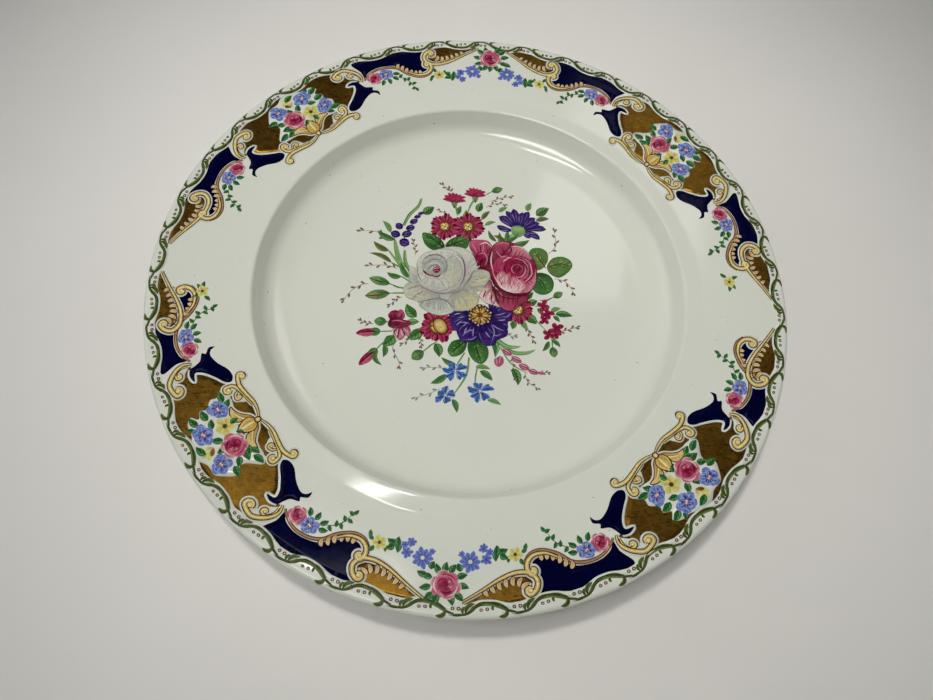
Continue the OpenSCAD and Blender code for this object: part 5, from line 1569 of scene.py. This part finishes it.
def hyacinth():
    """A spray of grape hyacinth on its curved stem."""
    p = bouquet["grape_hyacinth"]
    p.at(well, BACK + 0.004).stroke([(-31, 20), (-32, 25), (-30, 31), (-26.4, 38)], 0.8, "green",
                                    "bud_green")
    for u, v, w, h, a in ((-25.8, 39.4, 3, 1.7, 25), (-27.2, 37.4, 3.4, 2.1, 25), (-28.6, 34.6, 4, 2.8, 30),
                          (-29.8, 31, 4.3, 3.2, 20), (-35, 31.4, 4, 3.4, 140), (-31, 27.6, 4.8, 3.6, 20),
                          (-36.2, 27, 4.6, 3.8, 165), (-31.6, 23, 5, 4.3, 335)):
        p.at(well, SMALL_COAT)
        p.petal(off((u, v), -w / 2, a), off((u, v), w / 2, a), h, ("violet_dark", "violet", "violet_dark"),
                far=1.0)
        for k, tone in ((0.5, "violet_light"), (-0.2, "violet_dark"), (-0.7, "violet_light")):
            p.stroke([off((u, v + k), -w * 0.28, a), off((u, v + k * 1.2), 0, a),
                      off((u, v + k), w * 0.3, a)], 0.28,
                     tone, steps=3)


def cornflowers():
    """Three blue flowers at the bottom."""
    p = bouquet["blue_cornflowers"]
    for c, petals in (((-3.2, -36.6), ((172, 5.6), (140, 4.6), (100, 3.8), (60, 4.4), (22, 5.6), (345, 5.4),
                                       (300, 4.4), (250, 5), (215, 5), (185, 3.4), (320, 3.6))),
                      ((-6.4, -47.6), ((150, 3.4), (115, 3.6), (80, 4.2), (40, 4), (0, 4.2), (320, 3.4),
                                       (270, 3.6), (225, 5), (200, 4.4), (180, 3.2))),
                      ((7.8, -44.4), ((165, 5.6), (135, 4.4), (80, 3.6), (45, 4.8), (12, 6), (330, 5),
                                      (295, 4.6), (262, 5.4), (215, 4.8), (190, 4.8)))):
        p.at(well, SMALL_COAT)
        for i, (a, r) in enumerate(petals):
            p.petal(off(c, 0.4, a), off(c, r, a), 2.2,
                    ("blue_dark", "blue", "blue_light" if i % 3 else "blue"),
                    bend=0.12 * (-1) ** i, far=1.4)
            rays(p, c, [(a - 8, 1, r * 0.86), (a + 2, 0.8, r * 0.95), (a + 9, 1.4, r * 0.8)],
                 (("blue_pale", "blue_dark", "blue"), ("blue_dark", "blue_light", "blue_dark"))[i % 2], 0.26)
        for i in range(5):
            p.dot(off(c, 0.8, 72 * i + 30), 0.3, "blue_pale", "blue_light", n=6)


def rosebuds():
    """Closed buds at the lower left."""
    p = bouquet["rosebuds"].at(well, SMALL_COAT)
    for base, tip, w, stem in (((-37.4, -21.8), (-47, -23.6), 3.6, [(-34, -21.4), (-30, -20.8)]),
                               ((-37.4, -30.4), (-43.6, -38), 3.8, [(-35, -27), (-31, -23.4)])):
        p.stroke([base] + stem, 0.5, "green", taper=(0.9, 0.9))
        a = math.degrees(math.atan2(tip[1] - base[1], tip[0] - base[0]))
        p.petal(base, tip, w, ("crimson_dark", "crimson", "magenta"), far=1.0)
        p.petal(off(base, 1, a + 20), off(tip, 1.2, a + 160), w * 0.5, ("crimson", "pink", "pink_light"),
                bend=0.1)
        p.stroke([base, off(base, math.dist(base, tip) * 0.9, a - 4)], 0.5, "crimson_dark")
        p.leaf(off(base, 0.8, a + 180), off(base, 4, a + 18), 1.8, GREEN, 0.1, 0)
        p.leaf(off(base, 0.8, a + 180), off(base, 3.8, a - 20), 1.7, GREEN, -0.1, 0)


def heather():
    """Small pink bells at the lower right."""
    p = bouquet["heather_sprig"].at(well, SMALL_COAT)
    for u, v, w, h, a in ((18, -26, 4.8, 2.6, 150), (15, -30.5, 5.2, 3.6, 80), (13.8, -31, 4, 2, 110),
                          (22.2, -29, 5, 2.6, 155), (25.6, -32, 5, 2.8, 160), (29.6, -33.8, 4.6, 2.5, 165),
                          (33, -34, 3.2, 1.6, 175)):
        p.petal(off((u, v), w / 2, a), off((u, v), -w / 2, a), h, ("mauve", "pink", "mauve"), far=1.0)
        for k, tone in ((0.5, "pink_pale"), (0, "magenta"), (-0.45, "pink_light")):
            p.stroke([off((u, v + k), w * 0.36, a), off((u, v + k * 1.2), -w * 0.3, a)], 0.3, tone, steps=3)


for draw in (stems, leaves, crimson_group, anemone, pink_rose, white_rose, purple_aster, hyacinth,
             cornflowers, rosebuds, heather):
    draw()
for name, paint in bouquet.items():
    paint.piece("painted_" + name, ENAMEL, name)


# ---- stage, camera and lights ----

def add_floor():
    """A flat square table round the plate."""
    mesh = bpy.data.meshes.new("table")
    half, n = TABLE_HALF, TABLE_CELLS
    verts = [((i / n * 2 - 1) * half, (j / n * 2 - 1) * half, 0) for i in range(n + 1) for j in range(n + 1)]
    faces = [[i * (n + 1) + j, (i + 1) * (n + 1) + j, (i + 1) * (n + 1) + j + 1, i * (n + 1) + j + 1]
             for i in range(n) for j in range(n)]
    mesh.from_pydata(verts, [], faces)
    mesh.materials.append(floor_material())
    table = bpy.data.objects.new("table", mesh)
    bpy.context.scene.collection.objects.link(table)
    table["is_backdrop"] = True


def add_camera():
    """A phone camera held close over the plate's near side, a little tilted."""
    data = bpy.data.cameras.new("camera")
    data.lens = LENS
    data.sensor_width = SENSOR
    data.clip_start = 0.01
    camera = bpy.data.objects.new("camera", data)
    right, ahead = Vector(CAMERA_RIGHT), Vector(CAMERA_AHEAD)
    turn = Matrix((right, right.cross(ahead), -ahead)).transposed().to_4x4()
    camera.matrix_world = Matrix.Translation(Vector(CAMERA_AT) * MM) @ turn
    bpy.context.scene.collection.objects.link(camera)
    bpy.context.scene.camera = camera


def add_area(name, direction, distance, width, height, energy, colour):
    """An area light that looks at the plate from a direction; metres and watts."""
    data = bpy.data.lights.new(name, "AREA")
    data.shape = "RECTANGLE"
    data.size, data.size_y = width, height
    data.energy = energy
    data.color = colour
    lamp = bpy.data.objects.new(name, data)
    towards = Vector(direction).normalized()
    lamp.rotation_euler = towards.to_track_quat("Z", "Y").to_euler()
    lamp.location = towards * distance
    bpy.context.scene.collection.objects.link(lamp)


def add_spot(name, place, aim, radius, cone, energy, colour, mirrored=True):
    """A soft round lamp whose cone fades out over the table. One that isn't mirrored has no reflection."""
    data = bpy.data.lights.new(name, "SPOT")
    data.shadow_soft_size = radius
    data.spot_size = math.radians(cone)
    data.spot_blend = 1.0
    data.energy = energy
    data.color = colour
    lamp = bpy.data.objects.new(name, data)
    lamp.location = place
    lamp.visible_glossy = mirrored
    lamp.rotation_euler = (Vector(place) - Vector(aim)).to_track_quat("Z", "Y").to_euler()
    bpy.context.scene.collection.objects.link(lamp)


def add_world():
    """A room with bright walls and a darker ceiling."""
    world = bpy.data.worlds.new("studio")
    world.use_nodes = True
    nt = world.node_tree
    background = nt.nodes["Background"]
    split = nt.nodes.new("ShaderNodeSeparateXYZ")
    nt.links.new(nt.nodes.new("ShaderNodeTexCoord").outputs["Generated"], split.inputs["Vector"])
    height = ramp(nt, split.outputs["Z"], 0.45, 0.85)
    nt.links.new(blend_colours(nt, height, ROOM_WALLS, ROOM_CEILING), background.inputs["Color"])
    bpy.context.scene.world = world


ROOM_WALLS = (0.185, 0.188, 0.19)
ROOM_CEILING = (0.05, 0.05, 0.05)
TABLE_HALF = 1.6     # metres from the plate to the table's edge
TABLE_CELLS = 24
LENS = 24.965        # mm
SENSOR = 36          # mm
CAMERA_AT = (-1.93, -130.96, 259.57)    # mm from the plate's centre
CAMERA_RIGHT = (0.99573, 0.08129, 0.04372)
CAMERA_AHEAD = (0.00961, 0.37977, -0.92503)

add_floor()
add_camera()
add_world()
add_spot("key", place=(-0.17, -0.14, 0.87), aim=(0.02, 0.05, 0), radius=0.18, cone=48, energy=13,
         colour=(1.0, 1.0, 0.985))
add_spot("slant", place=(-0.17, 0.19, 1.1), aim=(0.01, 0.0, 0), radius=0.06, cone=42, energy=18.5,
         colour=(1.0, 0.99, 0.965), mirrored=False)
add_area("window", direction=(-0.80, 0.30, 0.52), distance=2.5, width=1.6, height=1.4, energy=7,
         colour=(0.86, 0.95, 1.0))
add_area("ceiling_tube", direction=(-0.09, 0.207, 0.971), distance=6.0, width=0.68, height=0.115,
         energy=5.8, colour=(1.0, 0.99, 0.97))
add_area("dim_panel", direction=(0.152, 0.53, 0.834), distance=2.0, width=0.3, height=0.3, energy=0.6,
         colour=(1.0, 0.98, 0.95))
bpy.context.scene.view_settings.view_transform = "Standard"

lines = {"cad_box": [list(v) for v in cad_box], "visual_box": [list(v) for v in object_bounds()]}
"\n".join(json.dumps(v) for v in lines.values()) + "\n"
